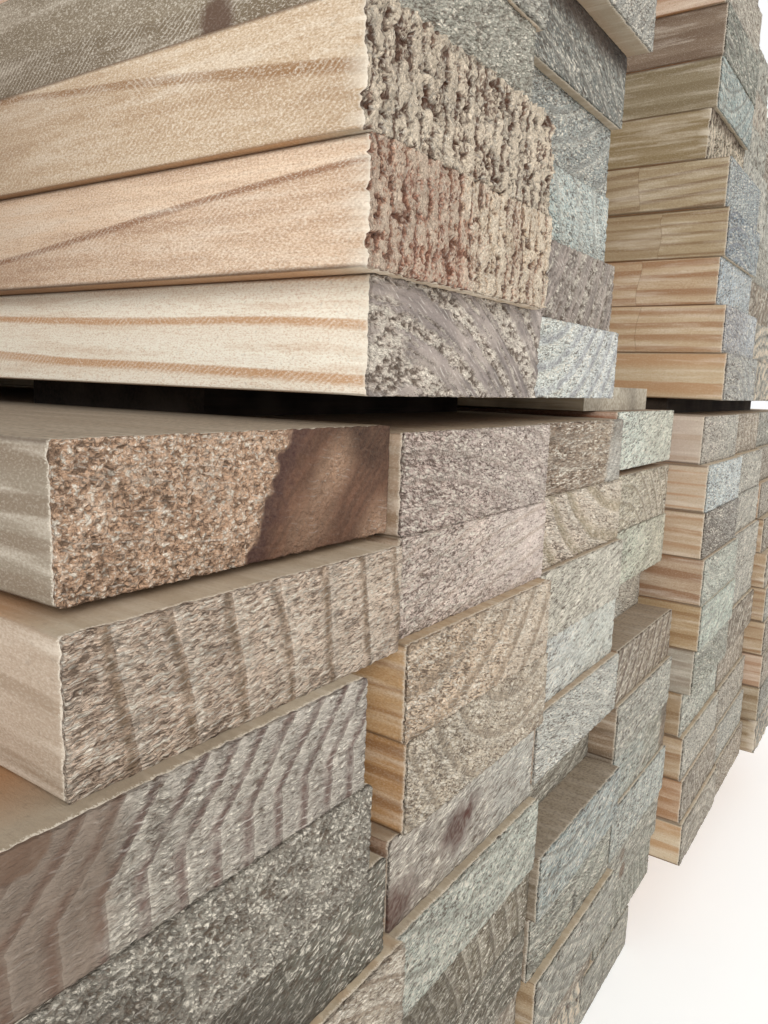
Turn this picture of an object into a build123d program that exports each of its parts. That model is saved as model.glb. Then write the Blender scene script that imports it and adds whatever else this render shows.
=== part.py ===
from build123d import *
import math
import os
import random

# A stack of rough sawn finger jointed pine boards, lying flat on a level floor.
# Millimetres. X runs across the boards, Y along them, Z up.
# The ends nearest the viewer are at low Y. Layer 1 of each pack is its lowest.

# The board, all of one size
THICK = 44.0
WIDE = 150.0
LENGTH = 2400.0
EASE = 1.2            # worn long edges

# Side by side spacing
SIDE_GAP = 5.0          # between neighbouring boards of a pack
LEFT_BLOCK_GAP = 26.0   # between the tall left block and the raised right block
RIGHT_SPLIT_GAP = 12.0  # inside the raised right block
UPPER_LEFT_GAP = 10.0   # between the two columns of the upper left pack
PITCH = WIDE + SIDE_GAP

# Layers
LEFT_LAYERS = 12
RIGHT_LAYERS = 10
UPPER_LAYERS = 10
LAST_COLUMN_LAYERS = 8  # some boards are gone from the far right column

# Thin boards that keep the tiers apart, and bearers under the raised block
STICKER_THICK = 15.0
STICKER_WIDE = WIDE
STICKER_SET_BACK = 110.0  # behind the common end plane of the boards
RIGHT_STICKER_BACK = 26.0  # the front one under the upper right pack lies nearer the ends
STICKER_INSET = 8.0       # from the sides of what it carries
BAY_BOARD_THICK = 18.0
BAY_BOARD_BACK = 16.0     # how far its near end stands behind the end plane
BAY_BOARD_CLEAR = 59.0    # between its far end and the middle sticker
BEARER_WIDE = 90.0
BEARER_INSET = 6.0
BEARER_HIGH = (LEFT_LAYERS - RIGHT_LAYERS) * THICK

# Left edges of the upper packs, from the left edge of the lower left block
UPPER_LEFT_AT = 118.0
UPPER_RIGHT_AT = 684.0

# Two top boards are bowed: their near ends curl up off the boards below
BOW_LIFT = 5.0        # the board beside the bay
CURL_LIFT = 3.0       # the outermost board of the lower left pack
BOW_REACH = 620.0     # how far back from the end the curl starts

# How far each seen end stands out of the common end plane, read from the photo.
# Each column's list starts beside the gap between the tiers and works away from it.
SEEN_ENDS = {
    "a": [10, 23, 30, 31, 25],
    "b": [14, 15, 23, 23, 21, 27],
    "c": [7, 9, 14, 12, 18, 0, 28],
    "d": [2, 2, 3, -15, 17, 21, 20, 23, 21, 18, -5, 3],
    "e": [23, 31, 32, 36, 38, 36, 29, 34, 37, 41],
    "f": [18, 26, 27, 31, 30, 34, 29, 33, 36, 39],
    "g": [13, 20, 28, 36, 44, 48, 51, 53, 54, 55],
    "h": [8],
    "u": [18, 26, 26, 11],
    "v": [8, 2, -5, -8, -1, 15],
    "w": [28, 23, 13, 17, 13, -7, -3, -2, -4, -9],
    "x": [21, 15, 8, 6, 2, -10, -15, -19, -20, -44],
    "y": [10, 6, 2, -4, -10, -16, -20, -24],
}
# Sideways errors of the nearest columns, in the same order
SEEN_SIDES = {
    "a": [3, -4, -35, -31, -10],
    "b": [3, 3, -1, 2, -6, -6],
    "u": [8, -4, -8, -4],
    "v": [1],
}
HIDDEN_END_MEAN = 20.0
HIDDEN_END_SPREAD = 10.0
SIDE_SHAKE = 1.8


def plain_board():
    """One board with eased long edges, its near lower left corner at the origin."""
    with BuildPart() as made:
        with Locations((WIDE / 2, LENGTH / 2, THICK / 2)):
            Box(WIDE, LENGTH, THICK)
        chamfer(made.edges().filter_by(Axis.Y), EASE)
    return made.part.solid()


def bowed_board(lift):
    """A board whose near end curls up, drawn from the side and pulled across."""
    bend_radius = (BOW_REACH**2 + lift**2) / (2 * lift)
    bend = math.degrees(math.asin(BOW_REACH / bend_radius))
    with BuildPart() as made:
        with BuildSketch(Plane.YZ):
            with BuildLine():
                start = (BOW_REACH, 0)
                under = CenterArc((BOW_REACH, bend_radius), bend_radius, 270, -bend)
                over = CenterArc((BOW_REACH, bend_radius), bend_radius - THICK, 270, -bend)
                Line(under @ 1, over @ 1)
                Polyline(start, (LENGTH, 0), (LENGTH, THICK), (BOW_REACH, THICK))
            make_face()
        extrude(amount=WIDE)
        chamfer(made.edges().group_by(Axis.X)[0] + made.edges().group_by(Axis.X)[-1], EASE)
    return made.part.solid()


def plain_bar(x_from, x_to, y_mid, width, z_low, height):
    """A sticker or bearer lying across the boards."""
    bar = Box(x_to - x_from, width, height)
    return (Pos((x_from + x_to) / 2, y_mid, z_low + height / 2) * bar).solid()


def end_out(column, steps_away, picker):
    """How far one board's near end stands out; an unseen one gets a likely value."""
    hidden = HIDDEN_END_MEAN + picker.uniform(-HIDDEN_END_SPREAD, HIDDEN_END_SPREAD)
    seen = SEEN_ENDS[column]
    if steps_away < len(seen):
        return float(seen[steps_away])
    return round(hidden)


def side_error(column, steps_away, picker):
    """The small sideways error of one board."""
    shake = picker.uniform(-SIDE_SHAKE, SIDE_SHAKE)
    seen = SEEN_SIDES.get(column, [])
    if steps_away < len(seen):
        return float(seen[steps_away])
    return round(shake, 1)


def pack_layer(one_board, columns, steps_away, z_low, picker):
    """All boards of one layer of one pack, as solids that do not touch sideways."""
    solids = []
    for column, x_left in columns:
        out = end_out(column, steps_away, picker)
        x = x_left + side_error(column, steps_away, picker)
        solids.append(Pos(x, -LENGTH / 2 - out, z_low) * one_board)
    return solids


def lower_pack(name, columns, layers, z_base, one_board, picker):
    """The layers of a lower pack, whose seen ends are counted from its top."""
    nodes = {}
    for n in range(1, layers + 1):
        z = z_base + (n - 1) * THICK
        nodes[f"{name}_layer_{n:02d}"] = pack_layer(one_board, columns, layers - n, z, picker)
    return nodes


def upper_pack(name, columns, layers, z_base, one_board, picker):
    """The layers of an upper pack, whose seen ends are counted from its bottom."""
    nodes = {}
    for n in range(1, layers + 1):
        z = z_base + (n - 1) * THICK
        present = [c for c in columns if c[0] != "y" or n <= LAST_COLUMN_LAYERS]
        nodes[f"{name}_layer_{n:02d}"] = pack_layer(one_board, present, n - 1, z, picker)
    return nodes


def cross_pieces(b, u, w, w_right, e, right_end, tier_top):
    """Stickers between the tiers and bearers on the floor.

    The front left one starts on column b, clear of the curled board beside it."""
    nodes = {}
    front = -LENGTH / 2 + STICKER_SET_BACK + STICKER_WIDE / 2
    front_right = -LENGTH / 2 + RIGHT_STICKER_BACK + STICKER_WIDE / 2
    u_right = u + 2 * WIDE + UPPER_LEFT_GAP
    spans = {
        "front_left": (b, u_right, front),
        "front_right": (w, w_right, front_right),
        "middle": (u, w_right, 0.0),
        "back": (u, w_right, -front),
    }
    for place, (x_from, x_to, y) in spans.items():
        x_from, x_to = x_from + STICKER_INSET, x_to - STICKER_INSET
        bar = plain_bar(x_from, x_to, y, STICKER_WIDE, tier_top, STICKER_THICK)
        nodes[f"tier_sticker_{place}"] = [bar]
    for place, share in (("front", -0.36), ("middle", 0.0), ("back", 0.36)):
        x_from, x_to = e + BEARER_INSET, right_end - BEARER_INSET
        bar = plain_bar(x_from, x_to, LENGTH * share, BEARER_WIDE, 0.0, BEARER_HIGH)
        nodes[f"ground_bearer_{place}"] = [bar]
    return nodes


def bay_board(x_left, z_low):
    """A thin offcut in the bay. Its near end lies on the curled end of the bowed board."""
    near_end = -LENGTH / 2 + BAY_BOARD_BACK
    far_end = -STICKER_WIDE / 2 - BAY_BOARD_CLEAR
    long = far_end - near_end
    lean = math.degrees(math.asin(BOW_LIFT / long))
    flat = Pos(WIDE / 2, -long / 2, BAY_BOARD_THICK / 2) * Box(WIDE, long, BAY_BOARD_THICK)
    return (Pos(x_left, far_end, z_low) * Rot(X=-lean) * flat).solid()


def build_nodes():
    """Every node's solids, before the stack is centred."""
    picker = random.Random(12)
    one = plain_board()
    a = 0.0
    e = a + 3 * PITCH + WIDE + LEFT_BLOCK_GAP
    g = e + PITCH + WIDE + RIGHT_SPLIT_GAP
    u = a + UPPER_LEFT_AT
    w = a + UPPER_RIGHT_AT
    left = [("a", a), ("b", a + PITCH), ("c", a + 2 * PITCH), ("d", a + 3 * PITCH)]
    right = [("e", e), ("f", e + PITCH), ("g", g), ("h", g + PITCH)]
    upper_left = [("u", u), ("v", u + WIDE + UPPER_LEFT_GAP)]
    upper_right = [("w", w), ("x", w + PITCH), ("y", w + 2 * PITCH)]
    tier_top = LEFT_LAYERS * THICK
    base = tier_top + STICKER_THICK

    nodes = lower_pack("lower_left", left, LEFT_LAYERS, 0.0, one, picker)
    top_left = nodes[f"lower_left_layer_{LEFT_LAYERS:02d}"]
    beside_bay = top_left.pop()
    outermost = top_left.pop(0)
    nodes["lower_left_bowed_board"] = [beside_bay.location * bowed_board(BOW_LIFT)]
    nodes["lower_left_curled_board"] = [outermost.location * bowed_board(CURL_LIFT)]
    nodes |= lower_pack("lower_right", right, RIGHT_LAYERS, BEARER_HIGH, one, picker)
    nodes |= upper_pack("upper_left", upper_left, UPPER_LAYERS, base, one, picker)
    nodes |= upper_pack("upper_right", upper_right, UPPER_LAYERS, base, one, picker)
    w_right = w + 2 * PITCH + WIDE
    right_end = g + PITCH + WIDE
    nodes |= cross_pieces(a + PITCH, u, w, w_right, e, right_end, tier_top)

    bay_left = u + 2 * WIDE + UPPER_LEFT_GAP + SIDE_GAP * 2
    nodes["bay_thin_board"] = [bay_board(bay_left, tier_top)]
    return nodes


def main():
    os.makedirs("parts", exist_ok=True)
    nodes = build_nodes()
    boxes = [solid.bounding_box() for solids in nodes.values() for solid in solids]
    low = Vector(*(min(getattr(b.min, k) for b in boxes) for k in "XYZ"))
    high = Vector(*(max(getattr(b.max, k) for b in boxes) for k in "XYZ"))
    middle = (low + high) / 2
    move = Pos(-middle.X, -middle.Y, -low.Z)
    print("size", high - low, "moved by", move.position)
    for name, solids in nodes.items():
        moved = Compound(children=[move * s for s in solids])
        export_step(moved, f"parts/{name}.step")
    print(len(nodes), "nodes,", len(boxes), "solids")


main()
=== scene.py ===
# %% [markdown]
# This file dresses a stack of sawn timber: four packs of 150 x 44 mm radiata pine boards, two
# packs side by side below and two more on stickers above. The solids come from the imported model
# and fix every place and size. What is made here is the look of real sawn wood: ends torn by the
# saw, rings, knots, stains, finger joints, dust and the light. The first step loads the frame.

# %% Load the frame
import math

import bpy
import numpy as np
from mathutils import Matrix, Vector


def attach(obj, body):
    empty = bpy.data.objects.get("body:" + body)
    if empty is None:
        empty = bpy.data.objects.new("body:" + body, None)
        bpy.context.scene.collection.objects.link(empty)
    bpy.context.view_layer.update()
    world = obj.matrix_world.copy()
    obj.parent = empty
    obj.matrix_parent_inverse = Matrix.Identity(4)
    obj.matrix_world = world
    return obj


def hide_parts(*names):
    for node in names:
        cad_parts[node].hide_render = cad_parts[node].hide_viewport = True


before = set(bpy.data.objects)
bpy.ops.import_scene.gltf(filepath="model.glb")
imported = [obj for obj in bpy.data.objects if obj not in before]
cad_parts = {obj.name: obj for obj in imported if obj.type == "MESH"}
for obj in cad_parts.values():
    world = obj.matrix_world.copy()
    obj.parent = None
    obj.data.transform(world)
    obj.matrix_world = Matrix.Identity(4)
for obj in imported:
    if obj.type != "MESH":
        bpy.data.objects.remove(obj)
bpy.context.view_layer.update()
MM = 0.001


# %% [markdown]
# The camera stands close to the near ends, a little left of the stack, and looks across them.
# Its place, turn and lens were fitted to the corners of the boards seen in the photograph. It
# could be aimed by hand with a Track To constraint, but a fitted turn is written down exactly,
# so the turn is built from three angles: to the right, downwards and a slight lean.

# %% Camera
CAMERA_AT = (-0.72485, -1.3837, 0.54796)
TURN, LOOK_DOWN, LEAN = (math.radians(angle) for angle in (55.517, 9.3965, -2.0589))
FRAME_HIGH = 1024
FOCAL_PIXELS = 780
SENSOR = 36

ahead = Vector((math.sin(TURN) * math.cos(LOOK_DOWN), math.cos(TURN) * math.cos(LOOK_DOWN),
                -math.sin(LOOK_DOWN)))
level_right = Vector((math.cos(TURN), -math.sin(TURN), 0))
level_down = ahead.cross(level_right)
right = math.cos(LEAN) * level_right + math.sin(LEAN) * level_down
down = math.cos(LEAN) * level_down - math.sin(LEAN) * level_right
camera_data = bpy.data.cameras.new("camera")
camera_data.sensor_fit = "AUTO"
camera_data.sensor_width = SENSOR
camera_data.sensor_height = SENSOR
camera_data.lens = FOCAL_PIXELS / FRAME_HIGH * SENSOR
camera_data.clip_start = 0.01
camera = bpy.data.objects.new("camera", camera_data)
bpy.context.collection.objects.link(camera)
turned = Matrix((right, -down, -ahead)).transposed().to_4x4()
camera.matrix_world = Matrix.Translation(CAMERA_AT) @ turned
bpy.context.scene.camera = camera
print("lens:", round(camera_data.lens, 2), "mm")

# %% [markdown]
# Every material starts from a few helpers. Colours are written as they look on a screen, as
# hex values, and one function turns them into the linear values that the shader wants. A new
# material is a Principled shader with an IOR of 1.5, which suits wood and paint alike.

# %% Colours and materials


def colour(text):
    parts = [int(text[place:place + 2], 16) / 255 for place in (1, 3, 5)]
    return tuple(part / 12.92 if part <= 0.04045 else ((part + 0.055) / 1.055) ** 2.4
                 for part in parts) + (1.0,)


USUAL_IOR = 1.5


def new_material(name, roughness, specular=0.5):
    material = bpy.data.materials.new(name)
    material.use_nodes = True
    shader = material.node_tree.nodes["Principled BSDF"]
    shader.inputs["Roughness"].default_value = roughness
    shader.inputs["Specular IOR Level"].default_value = specular
    shader.inputs["IOR"].default_value = USUAL_IOR
    return material, shader


print("white is", colour("#FFFFFF"))

# %% [markdown]
# By hand, a material is built by adding nodes, setting them and drawing links. One function
# does all three for any kind of node, in a material or the world, so each material below reads
# as a list of steps. A node that is given as a value stands for its first output.

# %% Nodes


def outlet(thing):
    """A node stands for its first output that is in use."""
    if isinstance(thing, bpy.types.Node):
        return next(socket for socket in thing.outputs if socket.enabled)
    return thing


def add(owner, kind, *values, **named):
    """Adds a node: values fill its inputs in order, a name is a setting or an input."""
    node = owner.node_tree.nodes.new("ShaderNode" + kind)
    for name in [name for name in named if hasattr(node, name)]:
        setattr(node, name, named.pop(name))
    filled = list(zip([socket for socket in node.inputs if socket.enabled], values))
    filled += [(node.inputs[name], value) for name, value in named.items()]
    for socket, value in filled:
        if isinstance(value, (bpy.types.Node, bpy.types.NodeSocket)):
            owner.node_tree.links.new(outlet(value), socket)
        else:
            socket.default_value = value
    return node


def put(owner, socket, value):
    owner.node_tree.links.new(outlet(value), socket)


print("one function adds every kind of node")

# %% [markdown]
# The stack stands on a plain pale floor, a plane far larger than the stack. Its paint is matt
# and glows very faintly, so it stays near white around the stack and still shows its shadow.

# %% Floor
FLOOR_SIZE = 14
FLOOR_GLOW = 0.14
bpy.ops.mesh.primitive_plane_add(size=FLOOR_SIZE, location=(0, 0, 0))
floor = bpy.context.object
floor.name = "floor"
floor_paint, floor_shader = new_material("pale_matt_floor", 0.9, 0.2)
floor_shader.inputs["Base Color"].default_value = colour("#FDFDFC")
floor_shader.inputs["Emission Color"].default_value = colour("#FFFFFF")
floor_shader.inputs["Emission Strength"].default_value = FLOOR_GLOW
floor.data.materials.append(floor_paint)
print("floor:", FLOOR_SIZE, "m wide")

# %% [markdown]
# The world is a pale room that lights the stack evenly from all sides. A Light Path node lets
# the camera, and what a glossy or clear surface would mirror, see it as plain white instead, so
# the white background adds no light to the wood.

# %% World
WORLD_STRENGTH = 0.68
world = bpy.data.worlds.new("soft_room")
bpy.context.scene.world = world
world.use_nodes = True
fill = world.node_tree.nodes["Background"]
fill.inputs["Color"].default_value = colour("#FBFCFD")
fill.inputs["Strength"].default_value = WORLD_STRENGTH
white = add(world, "Background", Color=colour("#FFFFFF"))
rays = add(world, "LightPath").outputs
sees_white = rays["Is Camera Ray"]
for other_rays in ("Is Glossy Ray", "Is Transmission Ray"):
    sees_white = add(world, "Math", sees_white, rays[other_rays], operation="MAXIMUM")
sky = add(world, "MixShader", sees_white, fill, white)
put(world, world.node_tree.nodes["World Output"].inputs["Surface"], sky)
print("world nodes:", len(world.node_tree.nodes))

# %% [markdown]
# A large soft lamp on the left front gives the torn ends their small shadows, and a wider,
# weaker one on the right fills them. The lamps stay at a level at which a colour shows about as
# it is written, and the view transform is Standard, which changes no colour.

# %% Lamps
# name, place, the point it looks at, width in metres, power in watts
LAMPS = (
    ("key_lamp", (-3.0, -3.5, 2.1), (-0.2, -1.1, 0.5), 1.8, 84),
    ("fill_lamp", (1.6, -3.8, 1.6), (0.0, -1.1, 0.5), 2.4, 43),
)
for lamp_name, lamp_at, lamp_to, lamp_size, lamp_power in LAMPS:
    lamp_data = bpy.data.lights.new(lamp_name, "AREA")
    lamp_data.shape = "DISK"
    lamp_data.size = lamp_size
    lamp_data.energy = lamp_power
    lamp_data.color = colour("#FFFEFB")[:3]
    lamp = bpy.data.objects.new(lamp_name, lamp_data)
    bpy.context.collection.objects.link(lamp)
    lamp.location = lamp_at
    lamp.rotation_euler = (Vector(lamp_to) - Vector(lamp_at)).to_track_quat("-Z", "Y").to_euler()
bpy.context.scene.view_settings.view_transform = "Standard"
print("lamps:", [lamp[0] for lamp in LAMPS])

# %% [markdown]
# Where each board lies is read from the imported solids. A layer of boards is one node, so a copy
# of its mesh is merged and separated into loose parts, and the box of each part is one board.
# The copies are deleted again. The CAD nodes themselves stay as they are.

# %% Read the boards from the solids
LAYER_WORDS = "_layer_"
BOWED = ("lower_left_bowed_board", "lower_left_curled_board")
SAME_POINT = 0.00001


def deselect():
    for thing in bpy.context.selected_objects:
        thing.select_set(False)


def only(thing):
    deselect()
    thing.select_set(True)
    bpy.context.view_layer.objects.active = thing


def boards_of(node):
    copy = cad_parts[node].copy()
    copy.data = copy.data.copy()
    bpy.context.collection.objects.link(copy)
    only(copy)
    bpy.ops.object.mode_set(mode="EDIT")
    bpy.ops.mesh.select_all(action="SELECT")
    bpy.ops.mesh.remove_doubles(threshold=SAME_POINT)
    bpy.ops.mesh.separate(type="LOOSE")
    bpy.ops.object.mode_set(mode="OBJECT")
    boxes = []
    for part in list(bpy.context.selected_objects):
        places = np.array([corner.co for corner in part.data.vertices])
        boxes.append((places.min(axis=0), places.max(axis=0)))
        bpy.data.objects.remove(part)
    return sorted(boxes, key=lambda box: box[0][0])


deselect()
board_nodes = sorted(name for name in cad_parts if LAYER_WORDS in name)
board_nodes += BOWED
layers = {node: boards_of(node) for node in board_nodes}
print("layers:", len(layers), "boards:", sum(len(boxes) for boxes in layers.values()))

# %% [markdown]
# Every point of a board carries marks that the wood materials read: where it lies in the grain,
# how torn or stained it is, where the heart of the tree is, and the colours of its wood. Marks on
# the points turn and bend with the board.

# %% Marks on the points
VECTOR_MARKS = ("grain_at", "marks", "end_heart", "side_heart", "run_out", "joints",
                "side_knot", "bands", "end_cut", "crumb_at")
COLOUR_MARKS = ("end_pale", "end_dark", "end_stain", "side_pale", "side_dark")
POINT_MARKS = [(name, "FLOAT_VECTOR") for name in VECTOR_MARKS]
POINT_MARKS += [(name, "FLOAT_COLOR") for name in COLOUR_MARKS]
print("marks on each point:", len(POINT_MARKS))

# %% [markdown]
# A board is a grid for its end, extruded in short steps that follow the torn rim and then along
# the whole length. The grid gives the end enough points to be roughened, and a board that curls
# up has six more steps behind the rim to bend on. Five templates keep the whole stack under a
# million triangles: fine grids for the ends that fill the photograph, plain ones for the rest.

# %% Board templates
WIDE_MM, HIGH_MM = 150, 44
WIDE, HIGH, LENGTH = WIDE_MM * MM, HIGH_MM * MM, 2.4
FRONT_RIMS = (0.0012, 0.0028, 0.008)
BOW_STEPS = (0.1,) * 6
CORNER_ROUND = 0.0013
HAIR = 0.0001


def template(name, across, up, along=()):
    bpy.ops.mesh.primitive_grid_add(x_subdivisions=across, y_subdivisions=up, size=1,
                                    location=(WIDE / 2, LENGTH, HIGH / 2),
                                    rotation=(math.pi / 2, 0, 0), scale=(WIDE, HIGH, 1))
    board = bpy.context.object
    board.name = name
    only(board)
    board.scale = (WIDE, HIGH, 1)
    bpy.ops.object.transform_apply(location=True, rotation=True, scale=True)
    bpy.ops.object.mode_set(mode="EDIT")
    bpy.ops.mesh.select_all(action="SELECT")
    steps = [LENGTH - sum(FRONT_RIMS) - sum(along), *along, *reversed(FRONT_RIMS)]
    for step in steps:
        bpy.ops.mesh.extrude_region_move(TRANSFORM_OT_translate={"value": (0, -step, 0)})
    bpy.ops.mesh.select_all(action="DESELECT")
    bpy.ops.object.mode_set(mode="OBJECT")
    for face in board.data.polygons:
        face.select = face.center.y > LENGTH - HAIR
    bpy.ops.object.mode_set(mode="EDIT")
    bpy.ops.mesh.dissolve_faces()
    bpy.ops.mesh.select_all(action="SELECT")
    bpy.ops.mesh.normals_make_consistent(inside=False)
    bpy.ops.object.mode_set(mode="OBJECT")
    mesh = board.data
    for attribute, kind in POINT_MARKS:
        mesh.attributes.new(attribute, kind, "POINT")
    deselect()
    return board


fineness = {
    "finest": template("finest_board", 200, 58),
    "fine": template("fine_board", 104, 30),
    "plain": template("plain_board", 46, 14),
    "bowed": template("bowed_fine_board", 104, 30, BOW_STEPS),
    "curled": template("bowed_finest_board", 200, 58, BOW_STEPS),
}
for level, board in fineness.items():
    print(level, "triangles:", sum(len(face.vertices) - 2 for face in board.data.polygons))

# %% [markdown]
# The ends are not alike. Some were torn into upright columns of fibre, some are covered in
# coarse crumbs, and some show smooth rings of hard summer wood that stand proud of the torn
# spring wood. A Displace modifier could roughen them, but not with a height that differs from
# ring to ring, so the height is worked out point by point with numpy, in millimetres. It starts
# from a smooth seeded noise over a square lattice of random values.

# %% Smooth noise
LATTICE = np.random.default_rng(11).random((257, 257))


def lumps(across, up, seed):
    """Smooth noise from 0 to 1, with lumps one unit apart."""
    across = across + 37.13 * seed + 1000
    up = up + 91.71 * seed + 1000
    left, low = np.floor(across).astype(int), np.floor(up).astype(int)
    way_across, way_up = across - left, up - low
    way_across = way_across * way_across * (3 - 2 * way_across)
    way_up = way_up * way_up * (3 - 2 * way_up)
    left, low = left % 256, low % 256
    bottom = LATTICE[left, low] * (1 - way_across) + LATTICE[left + 1, low] * way_across
    top = LATTICE[left, low + 1] * (1 - way_across) + LATTICE[left + 1, low + 1] * way_across
    return bottom * (1 - way_up) + top * way_up


def smooth_step(low, high, value):
    part = np.clip((value - low) / (high - low), 0, 1)
    return part * part * (3 - 2 * part)


def crests(across, up, seed):
    return 1 - np.abs(2 * lumps(across, up, seed) - 1)


print("lumps run from", LATTICE.min().round(3), "to", LATTICE.max().round(3))

# %% [markdown]
# A growth ring is a distance to the heart of the tree, divided by the width of a ring. The part
# after the decimal point says how far through its year the wood is: pale spring wood first,
# then a band of dark summer wood that ends sharply. The saw crumbles the softer wood.

# %% Rings and crumbs


def ring_phase(x, z, heart):
    return (np.hypot(x - heart[0], z - heart[1]) / heart[2]) % 1.0


def ring_number(x, z, heart):
    return np.floor(np.hypot(x - heart[0], z - heart[1]) / heart[2])


def summer_wood(phase, start, full):
    """The dark part of each ring: it sets in from start to full and ends sharply."""
    return smooth_step(start, full, phase) * (1 - smooth_step(0.97, 1.0, phase))


def crumb_relief(x, z, look):
    across, up = x * look["streak"], z + look["lean"] * x
    size, seed = look["grit"], look["seed"]
    height = (crests(across / size, up / size, seed) - 0.5) * 0.8
    height += (lumps(across / (size * 0.6), up / (size * 0.55), seed + 3) - 0.5) * 0.8
    height += (lumps(across / (size * 5), up / (size * 4), seed + 5) - 0.5) * 0.5
    pits = smooth_step(0.62, 0.78, lumps(across / (size * 1.3), up / (size * 0.9), seed + 8))
    return (height - pits * 0.8) * look["rough"]


print("summer wood is darkest late in a ring:", summer_wood(0.9, 0.5, 0.8))

# %% [markdown]
# Two ends above the gap were torn rather than cut: a blunt saw pulled whole bundles of fibre out.
# The bundles stand in columns along the rings, each broken across into ledges, with clefts between
# the columns and hollows where a bundle came out whole. Clefts and hollows are painted dark as
# shade, and crests pale as highlight.

# %% Torn ends


def torn_cells(x, z, look):
    """Columns of fibre that wander a little, each broken across into cells of its own height."""
    seed = look["seed"]
    far = np.hypot(x - look["heart"][0], z - look["heart"][1]) / look["heart"][2]
    far = far + (lumps(x / 6, z / 7, seed + 9) - 0.5) * 0.45
    number = np.floor(far)
    own = lumps(number * 7.7, number * 3.1, seed + 2)
    at = z / (8 + own * 7) + own * 9 + (lumps(x / 2.4, z / 2.4, seed + 8) - 0.5) * 0.3
    cell = LATTICE[(number * 17 + seed * 3).astype(int) % 256,
                   (np.floor(at) * 31).astype(int) % 256]
    return far - number, own, cell


def torn_relief(x, z, look):
    """Columns of fibre scaled like bark, clefts between them and broken-out hollows; the tone
    paints highlight on crests and shreds and shade in clefts and hollows.
    """
    seed = look["seed"]
    part, own, cell = torn_cells(x, z, look)
    edge = np.minimum(part, 1 - part) * look["heart"][2]
    column = smooth_step(0, 1.8, edge)
    bent = (part - 0.5) ** 2 * 2.2 + lumps(x / 2.2, z / 2.2, seed + 3) * 1.3
    ledge = ((z / (1.9 + own * 1.3) + own * 5 + bent) % 1.0) ** 1.4
    patchy = smooth_step(0.25, 0.7, lumps(x / 8, z / 6, seed + 4))
    shreds = crests(x / 1.5, z / 2.3, seed + 6) - 0.5
    fibres = LATTICE[(x * 1.34 + 900).astype(int) % 256, (z * 1.34 + 900).astype(int) % 256] - 0.5
    hole = smooth_step(0.76 - 0.08 * look["broken"], 0.84, lumps(x / 2.6, z / 3.0, seed + 7))
    height = column * (1.2 + (cell - 0.5) * 1.6) + column * ledge * (0.35 + 0.8 * patchy)
    height += (lumps(x / 2.6, z / 3.4, seed + 5) - 0.5) * look["broken"] * 1.6
    height += shreds * 1.0 + fibres * 0.9 - hole * 2.2 - 1.9
    cleft_shade = (1 - smooth_step(0.4, 1.7, edge)) * smooth_step(
        0.2, 0.5, lumps(x / 3 + own * 5, z / 3.5, seed + 1))
    # the tone is painted light and shade: pale on ledges and shreds, dark in clefts and hollows
    tone = 0.55 + patchy * (ledge - 0.45) * 1.5 + shreds * 1.3 + fibres * 1.1
    tone = (tone + (cell - 0.5) * 0.8 - cleft_shade * 1.7 - hole * 1.8) * 1.3
    return height * look["rough"], np.clip(tone, -1.2, 1.4)


line = np.linspace(0, WIDE_MM, 151), np.full(151, HIGH_MM / 2)
sample = {"heart": (-420, 22, 8.3), "seed": 5, "rough": 0.6, "broken": 0.8}
torn_line = torn_relief(*line, sample)[0]
print("a torn end lies between", torn_line.min().round(2), "and", torn_line.max().round(2), "mm")

# %% [markdown]
# The three kinds of end share one function, which gives a point's height, a tone that paints its
# pits as brown shade and its crests as pale highlight, and how smooth the place is. In a ringed
# end the summer wood stays smooth and proud, apart from short breaks along the ring, and a place
# may be crumbled right across its rings.

# %% Height of the end
CRUMBLED = {"u1": [(10, 13, 15)]}
ARC_REACH = 150


def along_ring(x, z, look, wide, long, seed):
    """Noise drawn out along the rings."""
    across, up = x - look["heart"][0], z - look["heart"][1]
    far = np.hypot(across, up)
    return lumps(far / wide, np.arctan2(across, up) * ARC_REACH / long, look["seed"] + seed)


def relief_of(x, z, look):
    """Height in mm, the tone of painted pit shade and crest highlight, and how smooth the place
    is.
    """
    ragged = (lumps(x / 3.0, z / 1.6, look["seed"] + 40) - 0.5) * 0.16
    phase = ring_phase(x, z, look["heart"])
    if look["cut"] == "ringed":
        own = lumps(ring_number(x, z, look["heart"]) * 3.7, 0.5, look["seed"]) - 0.5
        phase = np.clip(phase + ragged + own * 0.5 * np.sin(phase * math.pi), 0, 1)
    late = summer_wood(phase, look["end_band"], look["band_full"]) * look["contrast"]
    if look["cut"] == "torn":
        return *torn_relief(x, z, look), late * 0
    crumbs = crumb_relief(x, z, look)
    if look["cut"] == "ringed":
        torn = (lumps(x / 4.2, z / 1.5, look["seed"] + 7) - 0.5) * 2.4 - 0.1
        late = late * (1 - 0.75 * smooth_step(0.6, 0.72, along_ring(x, z, look, 1.3, 16, 50)))
        for middle_x, middle_z, reach in CRUMBLED.get(look["name"], ()):
            off = np.hypot(x - middle_x, (z - middle_z) * 1.2) + ragged * 30
            late = late * smooth_step(reach * 0.75, reach * 1.15, off)
        height = late * 0.4 + (1 - late) * (crumbs + torn) * 0.6
        return height, np.clip((1 - late) * (crumbs * 1.9 + torn * 1.3 + 0.2), -1, 1.1), late
    crumbs = crumbs * (1 - late * 0.5)
    return crumbs, np.clip(crumbs / 0.8, -0.8, 0.8), late * 0.4


print("ends crumbled across their rings:", list(CRUMBLED))

# %% [markdown]
# Resin and the brown of a knot soak into an end as stains. A few ends carry painted shade that is
# drawn the same way. A stain lies to one side of a leaning line, along the top, or inside a disc,
# with a rim that wobbles.

# %% Stains


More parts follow.
